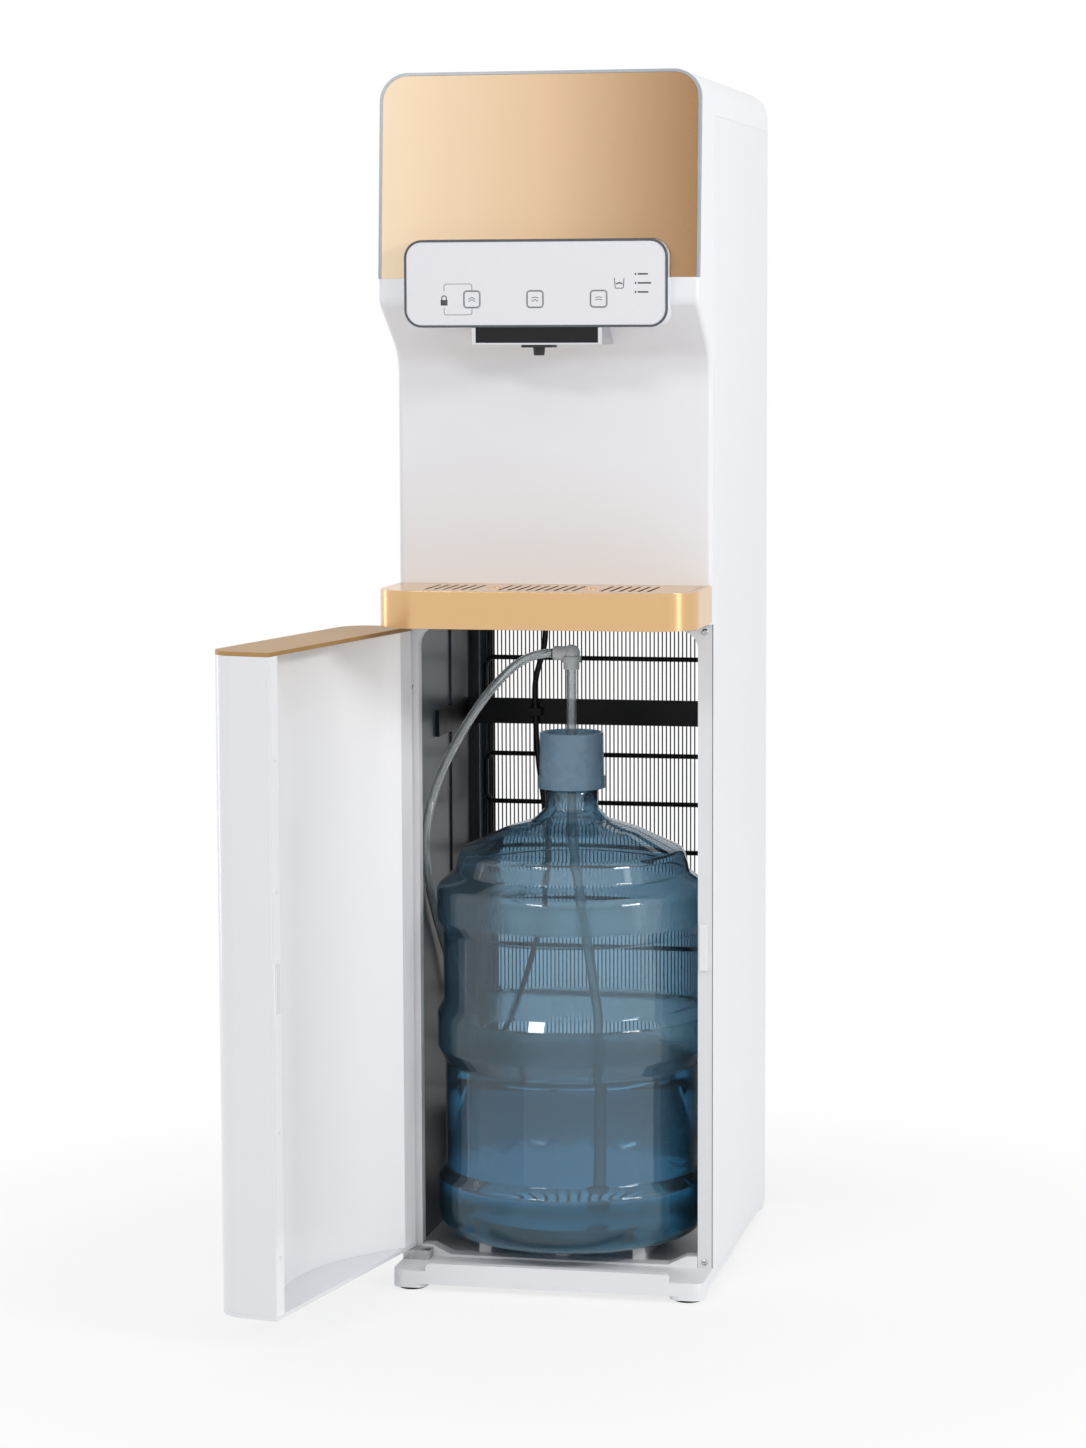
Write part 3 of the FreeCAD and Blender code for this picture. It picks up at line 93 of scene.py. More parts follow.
def gridMesh(name, grid, wrapRows=False, wrapColumns=False):
    # points on an n by m grid joined in quads; wrapped rows or columns close a seam, doubles merge at a pole
    rows, columns = grid.shape[:2]
    index = np.arange(rows * columns).reshape(rows, columns)
    index = np.concatenate([index, index[:1]]) if wrapRows else index
    index = np.concatenate([index, index[:, :1]], axis=1) if wrapColumns else index
    quads = np.stack([index[:-1, :-1], index[1:, :-1], index[1:, 1:], index[:-1, 1:]], axis=-1)
    mesh = bpy.data.meshes.new(name)
    mesh.from_pydata(grid.reshape(-1, 3).tolist(), [], quads.reshape(-1, 4).tolist())
    return tidyMesh(mesh)


cleanReach = {"twin": 1e-7, "sliver": 1e-8}


def tidyMesh(mesh):
    build = bmesh.new()
    build.from_mesh(mesh)
    bmesh.ops.remove_doubles(build, verts=build.verts, dist=cleanReach["twin"])
    bmesh.ops.dissolve_degenerate(build, edges=build.edges, dist=cleanReach["sliver"])
    bmesh.ops.recalc_face_normals(build, faces=build.faces)
    build.to_mesh(mesh)
    build.free()
    mesh.shade_smooth()
    return mesh


def joinedMesh(name, parts):
    build = bmesh.new()
    for part in parts:
        build.from_mesh(part)
    mesh = bpy.data.meshes.new(name)
    build.to_mesh(mesh)
    build.free()
    for part in parts:
        bpy.data.meshes.remove(part)
    mesh.shade_smooth()
    return mesh


def roundedLine(corners, turns=7):
    # runs joined by arcs: the arc of radius r starts r tan(turn / 2) before its corner, its centre lies on
    # the corner's bisector, and its points are centre + r (cos a * outward + sin a * along)
    corners = np.array(corners, float)
    points = [corners[:1, :2]]
    for before, corner, after in zip(corners[:-2], corners[1:-1], corners[2:]):
        come = (corner[:2] - before[:2]) / np.linalg.norm(corner[:2] - before[:2])
        leave = (after[:2] - corner[:2]) / np.linalg.norm(after[:2] - corner[:2])
        turn = math.acos(np.clip(come @ leave, -1, 1))
        radius = corner[2]
        if radius < 1e-9 or turn < 1e-4:
            points.append(corner[None, :2])
            continue
        start = corner[:2] - come * radius * math.tan(turn / 2)
        bisector = (leave - come) / np.linalg.norm(leave - come)
        centre = corner[:2] + bisector * radius / math.cos(turn / 2)
        angle = np.linspace(0, turn, turns)[:, None]
        points.append(centre + np.cos(angle) * (start - centre) + np.sin(angle) * come * radius)
    points.append(corners[-1:, :2])
    return np.concatenate(points)


def turnedMesh(name, line, centre, steps=144, closed=False):
    # a line of (radius, height) turned round an upright axis: x = cx + r cos a, y = cy + r sin a, z = h
    angle = np.linspace(0, 2 * math.pi, steps, endpoint=False)
    radius, height = line[:, :1], line[:, 1:]
    grid = np.stack([centre[0] + radius * np.cos(angle), centre[1] + radius * np.sin(angle),
                     height + 0 * angle], axis=-1)
    return gridMesh(name, grid, wrapRows=closed, wrapColumns=True)


def tubeMesh(name, path, radii, side, steps=24):
    # a ring carried along the path: p + r (cos a * n + sin a * b), with n and b square to the path;
    # out along the first radius and back along the second, so that the wall is closed at both ends
    path = np.array(path, float)
    along = np.gradient(path, axis=0)
    along = along / np.linalg.norm(along, axis=1, keepdims=True)
    first = np.array(side) - along * (along @ np.array(side))[:, None]
    first = first / np.linalg.norm(first, axis=1, keepdims=True)
    second = np.cross(along, first)
    angle = np.linspace(0, 2 * math.pi, steps, endpoint=False)[None, :, None]
    ring = np.cos(angle) * first[:, None] + np.sin(angle) * second[:, None]
    outer, inner = (path[:, None] + radius * ring for radius in radii)
    return gridMesh(name, np.concatenate([outer, inner[::-1]]), wrapRows=True, wrapColumns=True)


def ribbonMesh(name, points, width, front, thick, closed=False):
    # a flat line in an upright plane: each point moves half the width to both sides, square to the line,
    # at the front and the back of the print; an open line is closed by a point at each end
    points = np.array(points, float)
    if closed:
        along = np.roll(points, -1, axis=0) - np.roll(points, 1, axis=0)
    else:
        along = np.gradient(points, axis=0)
    along = along / np.linalg.norm(along, axis=1, keepdims=True)
    side = np.stack([-along[:, 1], along[:, 0]], axis=-1) * width / 2
    corners = [(points + side, front), (points - side, front), (points - side, front + thick),
               (points + side, front + thick)]
    grid = np.stack([np.stack([flat[:, 0], 0 * flat[:, 0] + depth, flat[:, 1]], axis=-1)
                     for flat, depth in corners], axis=1)
    if not closed:
        ends = [np.repeat(row.mean(axis=0)[None, None], 4, axis=1) for row in (grid[0], grid[-1])]
        grid = np.concatenate([ends[0], grid, ends[1]])
    return gridMesh(name, grid, wrapRows=closed, wrapColumns=True)


def boxLine(x0, x1, z0, z1, radius, turns=5):
    # closed rounded rectangle, started in the middle of its lower side
    middle = (x0 + x1) / 2
    line = roundedLine([(middle, z0, 0), (x1, z0, radius), (x1, z1, radius), (x0, z1, radius),
                        (x0, z0, radius), (middle, z0, 0)], turns)
    return line[:-1]


class Shade:
    # one output socket; + - * and ** on it add Math nodes, and node() adds any other node
    def __init__(self, tree, socket=None):
        self.tree = tree
        self.socket = socket

    def node(self, kind, settings=None, sockets=None, out=0):
        made = self.tree.nodes.new(kind)
        for key, value in (settings or {}).items():
            if key == "stops":
                stops = made.color_ramp.elements
                stops[0].position, stops[0].color = value[0]
                stops[-1].position, stops[-1].color = value[-1]
                for place, colour in value[1:-1]:
                    stops.new(place).color = colour
            else:
                setattr(made, key, value)
        for key, value in (sockets or {}).items():
            if isinstance(value, Shade):
                self.tree.links.new(value.socket, made.inputs[key])
            else:
                made.inputs[key].default_value = value
        return Shade(self.tree, made.outputs[out]) if made.outputs else None

    def step(self, operation, first, second=0.0):
        return self.node("ShaderNodeMath", {"operation": operation}, {0: first, 1: second})

    def __add__(self, other):
        return self.step("ADD", self, other)

    def __radd__(self, other):
        return self.step("ADD", other, self)

    def __sub__(self, other):
        return self.step("SUBTRACT", self, other)

    def __rsub__(self, other):
        return self.step("SUBTRACT", other, self)

    def __mul__(self, other):
        return self.step("MULTIPLY", self, other)

    def __pow__(self, other):
        return self.step("POWER", self, other)

    def blend(self, factor, first, second):
        return self.node("ShaderNodeMix", {"data_type": "RGBA"}, {0: factor, 6: first, 7: second}, 2)

    def part(self, axis):
        return self.node("ShaderNodeSeparateXYZ", {}, {0: self}, axis)

    def noise(self, scale, detail=2.0):
        return self.node("ShaderNodeTexNoise", {}, {"Vector": self, "Scale": scale, "Detail": detail})

    def stretched(self, scale):
        return self.node("ShaderNodeMapping", {}, {"Vector": self, "Scale": scale})

    def rise(self, low, high):
        # 0 up to low, 1 from high on, smooth between them
        return self.node("ShaderNodeMapRange", {"interpolation_type": "SMOOTHSTEP"},
                         {"Value": self, "From Min": low, "From Max": high})

    def band(self, low, high, soft):
        # 1 between low and high, falling to 0 over the soft width outside them
        return self.rise(low - soft, low) * (1 - self.rise(high, high + soft))

    def bump(self, strength, depth):
        return self.node("ShaderNodeBump", {}, {"Strength": strength, "Distance": depth, "Height": self})


def tint(code):
    # a colour written as on screen, turned into linear light by the sRGB curve
    parts = [int(code[i:i + 2], 16) / 255 for i in (1, 3, 5)]
    return tuple(p / 12.92 if p <= 0.04045 else ((p + 0.055) / 1.055) ** 2.4 for p in parts) + (1.0,)


finishes = {}


def blankFinish(name):
    finish = bpy.data.materials.new(name)
    finish.use_nodes = True
    finish.node_tree.nodes.clear()
    return finish, Shade(finish.node_tree)


def makeFinish(name, fixed, changing):
    # fixed holds plain values of the shader's sockets, changing gives those that vary over the surface
    finishes[name], start = blankFinish(name)
    place = start.node("ShaderNodeTexCoord", out="Object")
    shader = place.node("ShaderNodeBsdfPrincipled", {}, {**fixed, **changing(place)})
    place.node("ShaderNodeOutputMaterial", {}, {"Surface": shader})


grainDepth = 0.0003


def mottled(place, look):
    # two near tints in soft clouds, roughness that follows them, and a fine grain as bump
    drawn = place.stretched(look.get("stretch", (1, 1, 1)))
    cloud, grain = drawn.noise(look["cloud"], 3.0), drawn.noise(look["grain"])
    return {"Base Color": place.blend(cloud, tint(look["deep"]), tint(look["light"])),
            "Roughness": look["rough"] + (cloud - 0.5) * look["spread"],
            "Normal": grain.bump(look["bump"], grainDepth)}


plainLooks = {
    "pearlWhite": {"deep": "#EAEBEF", "light": "#EEEFF3", "rough": 0.24, "spread": 0.05, "cloud": 5,
                   "grain": 900, "bump": 0.03, "fixed": {"Coat Weight": 0.5, "Coat Roughness": 0.12}},
    # painted light: the door's white made lighter on the liner, which stands in shade
    "linerWhitePaintedLight": {"deep": "#F4F5F8", "light": "#F7F8FA", "rough": 0.30, "spread": 0.05, "cloud": 5,
                   "grain": 1000, "bump": 0.03, "fixed": {"Coat Weight": 0.4, "Coat Roughness": 0.15}},
    "mouldWhite": {"deep": "#E8E9ED", "light": "#EBECF0", "rough": 0.30, "spread": 0.05, "cloud": 5,
                   "grain": 1100, "bump": 0.03, "fixed": {"Coat Weight": 0.25, "Coat Roughness": 0.2}},
    "baseWhite": {"deep": "#E6E7EA", "light": "#EBECEE", "rough": 0.42, "spread": 0.08, "cloud": 9,
                  "grain": 700, "bump": 0.08, "fixed": {}},
    "frameWhite": {"deep": "#DFE0E3", "light": "#E4E5E8", "rough": 0.36, "spread": 0.06, "cloud": 8,
                   "grain": 1300, "bump": 0.10, "fixed": {}},
    # condenser brackets: grey, darkened further as painted shade of the bay
    "bracketGreyPaintedShade": {"deep": "#252E34", "light": "#30393F", "rough": 0.42, "spread": 0.14, "cloud": 14,
                    "grain": 1200, "bump": 0.10, "fixed": {}},
    "tankSteel": {"deep": "#B4B5B8", "light": "#CBCCCE", "rough": 0.30, "spread": 0.2, "cloud": 40,
                  "grain": 900, "bump": 0.06, "stretch": (1, 1, 0.04), "fixed": {"Metallic": 1.0}},
    "screwSteel": {"deep": "#A7A8AB", "light": "#C9CACC", "rough": 0.26, "spread": 0.15, "cloud": 300,
                   "grain": 2500, "bump": 0.05, "fixed": {"Metallic": 1.0}},
    "chrome": {"deep": "#BDBEC2", "light": "#D2D3D6", "rough": 0.10, "spread": 0.05, "cloud": 20,
               "grain": 1500, "bump": 0.01, "fixed": {"Metallic": 1.0}},
    "darkTrim": {"deep": "#50545A", "light": "#666A70", "rough": 0.24, "spread": 0.06, "cloud": 15,
                 "grain": 300, "bump": 0.01, "fixed": {"Metallic": 1.0}},
    "edgeTrim": {"deep": "#8E9196", "light": "#A3A6AA", "rough": 0.36, "spread": 0.06, "cloud": 15,
                 "grain": 300, "bump": 0.01, "fixed": {"Metallic": 0.9}},
    "plateSilver": {"deep": "#E2E2E7", "light": "#E4E4E9", "rough": 0.30, "spread": 0.02, "cloud": 60,
                    "grain": 1600, "bump": 0.02, "fixed": {"Coat Weight": 0.4, "Coat Roughness": 0.15}},
    "pianoBlack": {"deep": "#0E0E10", "light": "#151518", "rough": 0.12, "spread": 0.06, "cloud": 20,
                   "grain": 300, "bump": 0.01, "fixed": {"Specular IOR Level": 0.25}},
    "mouldBlack": {"deep": "#17181A", "light": "#202225", "rough": 0.48, "spread": 0.12, "cloud": 30,
                   "grain": 900, "bump": 0.12, "fixed": {}},
    "wireBlack": {"deep": "#08090A", "light": "#121315", "rough": 0.42, "spread": 0.15, "cloud": 60,
                  "grain": 1400, "bump": 0.15, "fixed": {"Specular IOR Level": 0.25}},
    "padRubber": {"deep": "#17171A", "light": "#242427", "rough": 0.80, "spread": 0.12, "cloud": 80,
                  "grain": 1200, "bump": 0.3, "fixed": {}},
    "elbowGrey": {"deep": "#C4C8C9", "light": "#D6D9D9", "rough": 0.38, "spread": 0.10, "cloud": 60,
                  "grain": 1200, "bump": 0.05, "fixed": {"Subsurface Weight": 0.1,
                                                         "Subsurface Scale": 0.003}},
    "milkSilicone": {"deep": "#D6D6D0", "light": "#E2E2DC", "rough": 0.45, "spread": 0.1, "cloud": 60,
                     "grain": 800, "bump": 0.05, "fixed": {}},
    "copperTube": {"deep": "#A8633F", "light": "#C98A62", "rough": 0.30, "spread": 0.25, "cloud": 60,
                   "grain": 1200, "bump": 0.05, "fixed": {"Metallic": 1.0}},
    "capGold": {"deep": "#AC8654", "light": "#B9935F", "rough": 0.42, "spread": 0.10, "cloud": 9,
                "grain": 260, "bump": 0.04, "stretch": (0.05, 1, 1),
                "fixed": {"Metallic": 0.35, "Specular IOR Level": 0.3}},
    "whiteFoam": {"deep": "#DDD8C6", "light": "#EBE7D8", "rough": 0.85, "spread": 0.1, "cloud": 120,
                  "grain": 420, "bump": 0.5, "fixed": {}},
    "boardGreen": {"deep": "#17502F", "light": "#1F6339", "rough": 0.40, "spread": 0.2, "cloud": 220,
                   "grain": 500, "bump": 0.15, "fixed": {}},
    "inkGrey": {"deep": "#45474B", "light": "#4E5054", "rough": 0.5, "spread": 0.05, "cloud": 200,
                "grain": 900, "bump": 0.02, "fixed": {}},
}
for lookName, plainLook in plainLooks.items():
    makeFinish(lookName, plainLook["fixed"], lambda place, look=plainLook: mottled(place, look))


# gold head panel: pearl lacquer, with a painted reflection that runs from cream at the left to tan at the
# right
goldLook = {"left": "#F4DCBC", "middle": "#E1BE96", "right": "#9B7140", "halfWidth": 0.155, "flakes": 2600,
            "pearl": "#FFF1DC", "share": 0.35, "rough": 0.30, "spread": 0.10, "bump": 0.02, "depth": 0.0002,
            "fixed": {"Metallic": 0.05, "Specular IOR Level": 0.2, "Coat Weight": 0.6,
                      "Coat Roughness": 0.04}}


def goldPanelPaint(place):
    across = place.part(0) * (0.5 / goldLook["halfWidth"]) + 0.5
    flakes = place.noise(goldLook["flakes"], 1.0)
    # painted reflection: the base colour runs from cream at the left to dark tan at the right
    paintedReflection = place.node("ShaderNodeValToRGB",
                      {"stops": [(0.0, tint(goldLook["left"])), (0.5, tint(goldLook["middle"])),
                                 (1.0, tint(goldLook["right"]))]}, {"Fac": across})
    return {"Base Color": place.blend((flakes - 0.5) * goldLook["share"], paintedReflection, tint(goldLook["pearl"])),
            "Roughness": goldLook["rough"] + (flakes - 0.5) * goldLook["spread"],
            "Normal": flakes.bump(goldLook["bump"], goldLook["depth"])}


makeFinish("goldGloss", goldLook["fixed"], goldPanelPaint)

# satin gold of the drip tray: fine grain drawn out along X
satinLook = {"deep": "#D9AF7C", "light": "#E2BC8C", "rough": 0.24, "spread": 0.12, "cloud": 9,
             "grain": 260, "bump": 0.05, "stretch": (0.05, 1, 1),
             "fixed": {"Metallic": 0.95, "Coat Weight": 0.3, "Coat Roughness": 0.12}}
makeFinish("goldSatin", satinLook["fixed"], lambda place: mottled(place, satinLook))

# side sheets: white powder coat outside, grey inside the bay, darkened further there as painted shade
sheetLook = {"outside": ("#E7E8EB", "#EAEBEE"), "inside": ("#49545B", "#57626A"), "face": 0.1543,
             "grain": 1300, "cloud": 7, "rough": 0.34, "spread": 0.1, "bump": 0.10}


def sheetPaint(place):
    outside = place.step("GREATER_THAN", place.step("ABSOLUTE", place.part(0)), sheetLook["face"])
    grain = place.noise(sheetLook["grain"])
    cloud = place.noise(sheetLook["cloud"], 3.0)
    # painted shade: the inside of the sheets is a darker grey where the bay lies in shade
    paintedShadeInside = place.blend(cloud, *[tint(code) for code in sheetLook["inside"]])
    shadeOut = place.blend(cloud, *[tint(code) for code in sheetLook["outside"]])
    return {"Base Color": place.blend(outside, paintedShadeInside, shadeOut),
            "Roughness": sheetLook["rough"] + (cloud - 0.5) * sheetLook["spread"],
            "Normal": grain.bump(sheetLook["bump"], grainDepth)}


makeFinish("sheetPaint", {}, sheetPaint)


def makeClear(name, settings, changing):
    # a tinted see-through layer mixed with a glossy one; the mix deepens towards the rim of the shape
    finishes[name], start = blankFinish(name)
    place = start.node("ShaderNodeTexCoord", out="Object")
    facing = place.node("ShaderNodeLayerWeight", {}, {"Blend": settings["bend"]}, "Facing")
    cover, sockets = changing(place, facing)
    clear = place.node("ShaderNodeBsdfTransparent", {}, {"Color": tint(settings["through"])})
    solid = place.node("ShaderNodeBsdfPrincipled", {}, sockets)
    both = place.node("ShaderNodeMixShader", {}, {0: cover, 1: clear, 2: solid})
    place.node("ShaderNodeOutputMaterial", {}, {"Surface": both})


# bottle: tinted clear wall, deeper where it is seen at a slant, with frosted raised rings
bottleLook = {"clear": "#ADCADA", "slant": "#245B7D", "ring": "#9ABCCC", "foot": "#7FB0C4", "polish": 0.012,
              "frost": 0.08, "stipple": 430, "frosted": [(0.226, 0.256), (0.356, 0.382)], "ringSoft": 0.003,
              "footBand": (0.0, 0.086), "footSoft": 0.006, "share": 0.6, "ripple": 40, "rippleShare": 0.05,
              "bump": 0.30, "depth": 0.0008, "fixed": {"Transmission Weight": 0.93, "IOR": 1.5}}


def bottlePaint(place):
    height, share = place.part(2), bottleLook["share"]
    rings = sum((height.band(low, high, bottleLook["ringSoft"]) for low, high in bottleLook["frosted"]), 0.0)
    stipple, ripple = place.noise(bottleLook["stipple"]), place.noise(bottleLook["ripple"])
    facing = place.node("ShaderNodeLayerWeight", {}, {"Blend": 0.5}, "Facing")
    colour = place.blend(facing ** 2.0, tint(bottleLook["clear"]), tint(bottleLook["slant"]))
    colour = place.blend(rings * share, colour, tint(bottleLook["ring"]))
    foot = height.band(*bottleLook["footBand"], bottleLook["footSoft"])
    frosted = rings + foot * share
    relief = stipple * frosted + ripple * bottleLook["rippleShare"]
    return {"Base Color": place.blend(foot, colour, tint(bottleLook["foot"])),
            "Roughness": bottleLook["polish"] + frosted * (stipple * bottleLook["frost"]),
            "Normal": relief.bump(bottleLook["bump"], bottleLook["depth"])}


makeFinish("bottleBlue", bottleLook["fixed"], bottlePaint)


hoseLook = {"deep": "#DDE4E6", "light": "#EDF2F2", "rough": 0.06, "spread": 0.05, "cloud": 120,
            "fixed": {"Transmission Weight": 0.85, "IOR": 1.4, "Coat Weight": 0.5}}


def hosePaint(place):
    cloud = place.noise(hoseLook["cloud"], 3.0)
    return {"Base Color": place.blend(cloud, tint(hoseLook["deep"]), tint(hoseLook["light"])),
            "Roughness": hoseLook["rough"] + (cloud - 0.5) * hoseLook["spread"]}


makeFinish("hoseClear", hoseLook["fixed"], hosePaint)


capLook = {"deep": "#86A6BE", "light": "#9DBACE", "cover": 0.55, "rim": 0.3, "through": "#B4CFE0",
           "bend": 0.5, "cloud": 60, "rough": 0.28, "spread": 0.1,
           "fixed": {"Subsurface Weight": 0.2, "Subsurface Scale": 0.006}}


def capPaint(place, facing):
    cloud = place.noise(capLook["cloud"], 3.0)
    return capLook["cover"] + facing * capLook["rim"], {
        "Base Color": place.blend(cloud, tint(capLook["deep"]), tint(capLook["light"])),
        "Roughness": capLook["rough"] + (cloud - 0.5) * capLook["spread"], **capLook["fixed"]}


makeClear("capBlue", capLook, capPaint)

waterLook = {"deep": "#7FBAD0", "light": "#8CC6D9", "cloud": 22,
             "fixed": {"Transmission Weight": 1.0, "IOR": 1.333, "Roughness": 0.0}}


def waterPaint(place):
    drift = place.noise(waterLook["cloud"], 3.0)
    return {"Base Color": place.blend(drift, tint(waterLook["deep"]), tint(waterLook["light"]))}


makeFinish("waterBlue", waterLook["fixed"], waterPaint)
print("finishes made:", len(finishes))


def addPiece(name, mesh, finish, body, replaced=()):
    piece = bpy.data.objects.new(name, mesh)
    scene.collection.objects.link(piece)
    mesh.materials.clear()
    mesh.materials.append(finishes[finish])
    if body:
        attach(piece, body)
    if replaced:
        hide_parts(*replaced)
    return piece


softShape = {"weld": 2e-6, "flat": 0.4, "sharp": 30, "steps": 2}  # metres, degrees, degrees, segments


def softCopy(name, finish, edge):
    # a welded copy of the node with its flat faces joined up and its sharp edges rounded
    mesh = nodes[name].data.copy()
    mesh.name = name + "_soft"
    build = bmesh.new()
    build.from_mesh(mesh)
    bmesh.ops.remove_doubles(build, verts=build.verts, dist=softShape["weld"])
    bmesh.ops.dissolve_limit(build, angle_limit=math.radians(softShape["flat"]), verts=build.verts,
                             edges=build.edges)
    build.to_mesh(mesh)
    build.free()
    mesh.polygons.foreach_set("material_index", [0] * len(mesh.polygons))
    mesh.shade_smooth()
    mesh.set_sharp_from_angle(angle=math.radians(softShape["sharp"]))
    piece = addPiece(name + "_soft", mesh, finish, nodes[name]["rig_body"], (name,))
    if edge:
        rounding = piece.modifiers.new("rounding", "BEVEL")
        rounding.width = edge * mm
        rounding.segments = softShape["steps"]
        rounding.offset_type = "WIDTH"  # keeps the corners where two mouldings meet inside the box
        rounding.limit_method = "ANGLE"
        rounding.angle_limit = math.radians(softShape["sharp"])
        rounding.harden_normals = True


# finish and edge rounding in millimetres of each copied node
softNodes = {
    "base_frame": ("baseWhite", 1.2), "side_panel_left": ("sheetPaint", 0.3),
    "side_panel_right": ("sheetPaint", 0.3), "front_frame": ("frameWhite", 0.4),
    "fascia_shell": ("mouldWhite", 0.5), "top_cover": ("mouldWhite", 0.6), "gold_panel": ("goldGloss", 0.5),
    "gold_trim": ("edgeTrim", 0.4), "control_housing": ("mouldWhite", 0.4),
    "control_bezel": ("darkTrim", 0.5), "control_plate": ("plateSilver", 0.3),
    "key_hot": ("plateSilver", 0.3), "key_ambient": ("plateSilver", 0.3), "key_cold": ("plateSilver", 0.3),
    "outlet_housing": ("pianoBlack", 0.5), "outlet_trim": ("chrome", 0.5), "nozzle": ("mouldBlack", 0.4),
    "tray_body": ("goldSatin", 0.7), "drip_basin": ("goldSatin", 0.4), "drip_grille": ("goldSatin", 0.3),
    "door_skin": ("pearlWhite", 0.4), "door_liner": ("linerWhitePaintedLight", 0.3), "door_top_cap": ("capGold", 0.8),
    "door_bottom_cap": ("pearlWhite", 0.8), "door_catch": ("pearlWhite", 0.3),
    "door_magnet": ("baseWhite", 0.4), "hinge_pivots": ("screwSteel", 0.2),
    "frame_screws": ("screwSteel", 0.2), "condenser_tube": ("wireBlack", 0),
    "condenser_brackets": ("bracketGreyPaintedShade", 0.3), "rear_crossbar": ("wireBlack", 0.3),
    "back_panel": ("frameWhite", 0.3), "switch_housing": ("mouldBlack", 0.3),
    "rocker_heat": ("pianoBlack", 0.3), "rocker_cool": ("pianoBlack", 0.3),
    "cable_gland": ("mouldBlack", 0.4), "drain_plug": ("mouldWhite", 0.3), "dip_tube": ("hoseClear", 0),
    "probe_elbow": ("elbowGrey", 0.4), "riser_tube": ("mouldBlack", 0), "water_pump": ("mouldBlack", 0.5),
    "deck_plate": ("frameWhite", 0.3), "deck_grommet": ("padRubber", 0.4), "foot_pads": ("padRubber", 0.5),
}
for nodeName, (finishName, edgeSize) in softNodes.items():
    softCopy(nodeName, finishName, edgeSize)

# nodes whose own mesh stays, with a new finish
keptNodes = {
    "condenser_wires": "wireBlack", "tank_shelf": "frameWhite", "compressor": "wireBlack",
    "compressor_mounts": "padRubber", "cold_tank": "tankSteel", "evaporator_coil": "copperTube",
    "tank_insulation": "whiteFoam", "hot_tank": "tankSteel", "solenoid_valves": "mouldBlack",
    "silicone_tubes": "milkSilicone", "circuit_boards": "boardGreen", "refrigerant_lines": "copperTube",
}
for nodeName, finishName in keptNodes.items():
    mesh = nodes[nodeName].data
    mesh.materials.clear()
    mesh.materials.append(finishes[finishName])
    mesh.polygons.foreach_set("material_index", [0] * len(mesh.polygons))
print("nodes dressed:", len(softNodes) + len(keptNodes))


# millimetres but for the centre; rims, heel, neck and dome give a place and then the radius of the arc there
bottleShape = {
    "centre": (-0.0025, 0.084), "radius": 136.0, "base": 35.3, "wall": 2.0, "sink": 0.8, "punt": 14.0,
    "puntRim": (72, 10), "footRim": (92, 10), "heelIn": (6, 20), "heelUp": (24, 22), "baseRing": 92.0,
    "lowBand": (104.0, 210.0), "middleRing": (224.0, 258.0), "waistBand": (270.0, 342.0),
    "topRing": (354.0, 386.0), "bandArc": 6, "waistIn": 6, "lowIn": 7.5, "topArc": 12,
    "terrace": (118.0, 401.0, 113.0, 422.0), "terraceArcs": (5, 11), "dome": (66.0, 443.5, 60),
    "neck": 26.5, "neckFoot": (12, 452.0, 14), "neckLow": (464.0, 8), "top": 508.0, "water": 206.0,
    "arcSteps": 9, "steps": 192,
}


def bottleLine(inset, top):
    # half outline of the bottle from the axis outwards and up, moved in by the wall's thickness;
    # each corner is its radius, its height and the radius of its arc
    shape, sink, arc = bottleShape, inset * bottleShape["sink"], bottleShape["bandArc"]
    ring, base, neck = shape["radius"] - inset, shape["base"] + inset, shape["neck"] - inset
    waist, low = ring - shape["waistIn"], ring - shape["lowIn"]
    foot, footHeight, brow, browHeight = shape["terrace"]
    corners = [(0, base + shape["punt"], 0), (shape["puntRim"][0], base + shape["punt"], shape["puntRim"][1]),
               (shape["footRim"][0], base, shape["footRim"][1]),
               (ring - shape["heelIn"][0], base, shape["heelIn"][1]),
               (ring, base + shape["heelUp"][0], shape["heelUp"][1]), (ring, shape["baseRing"], arc)]
    for reach, heights in ((low, shape["lowBand"]), (ring, shape["middleRing"]), (waist, shape["waistBand"])):
        corners += [(reach, height, arc) for height in heights]
    corners += [(ring, shape["topRing"][0], arc), (ring, shape["topRing"][1] - sink, shape["topArc"]),
                (foot - inset, footHeight - sink, shape["terraceArcs"][0]),
                (brow - inset, browHeight - sink, shape["terraceArcs"][1]),
                (shape["dome"][0], shape["dome"][1] - sink, shape["dome"][2]),
                (neck + shape["neckFoot"][0], shape["neckFoot"][1] - sink, shape["neckFoot"][2]),
                (neck, shape["neckLow"][0] - sink, shape["neckLow"][1]), (neck, top, 0)]
    return roundedLine(corners, shape["arcSteps"])


outerLine = bottleLine(0, bottleShape["top"])
innerLine = bottleLine(bottleShape["wall"], bottleShape["top"])
addPiece("bottle_wall", turnedMesh("bottle_wall", np.concatenate([outerLine, innerLine[::-1]]) * mm,
                                   bottleShape["centre"], bottleShape["steps"]), "bottleBlue", "bottle_set",
         ("bottle",))


# section of the cap: skirt, outer wall, rim, dish with the pipe's hole, and back down inside
capShape = {"section": [(27.0, 484, 0), (33.9, 484, 0.8), (33.9, 495, 1.2), (32.4, 497, 1.0),
                        (31.8, 540, 1.3), (28.8, 540, 1.0), (28.4, 531, 1.5), (5.4, 530, 0.3),
                        (5.4, 527.5, 0.3), (29.4, 527.5, 1.5), (29.8, 510, 1.0), (27.0, 509, 0.3),
                        (27.0, 484, 0)], "arcSteps": 5, "steps": 96}
capLine = roundedLine(capShape["section"], capShape["arcSteps"])
addPiece("cap_shell", turnedMesh("cap_shell", capLine[:-1] * mm, bottleShape["centre"], capShape["steps"],
                                 True), "capBlue", "bottle_set", ("bottle_cap",))

waterShape = {"gap": 0.3, "cut": 2, "climb": 1.6, "lip": (1.2, 0.6, 0.8), "calm": (4, 2), "arcSteps": 4}


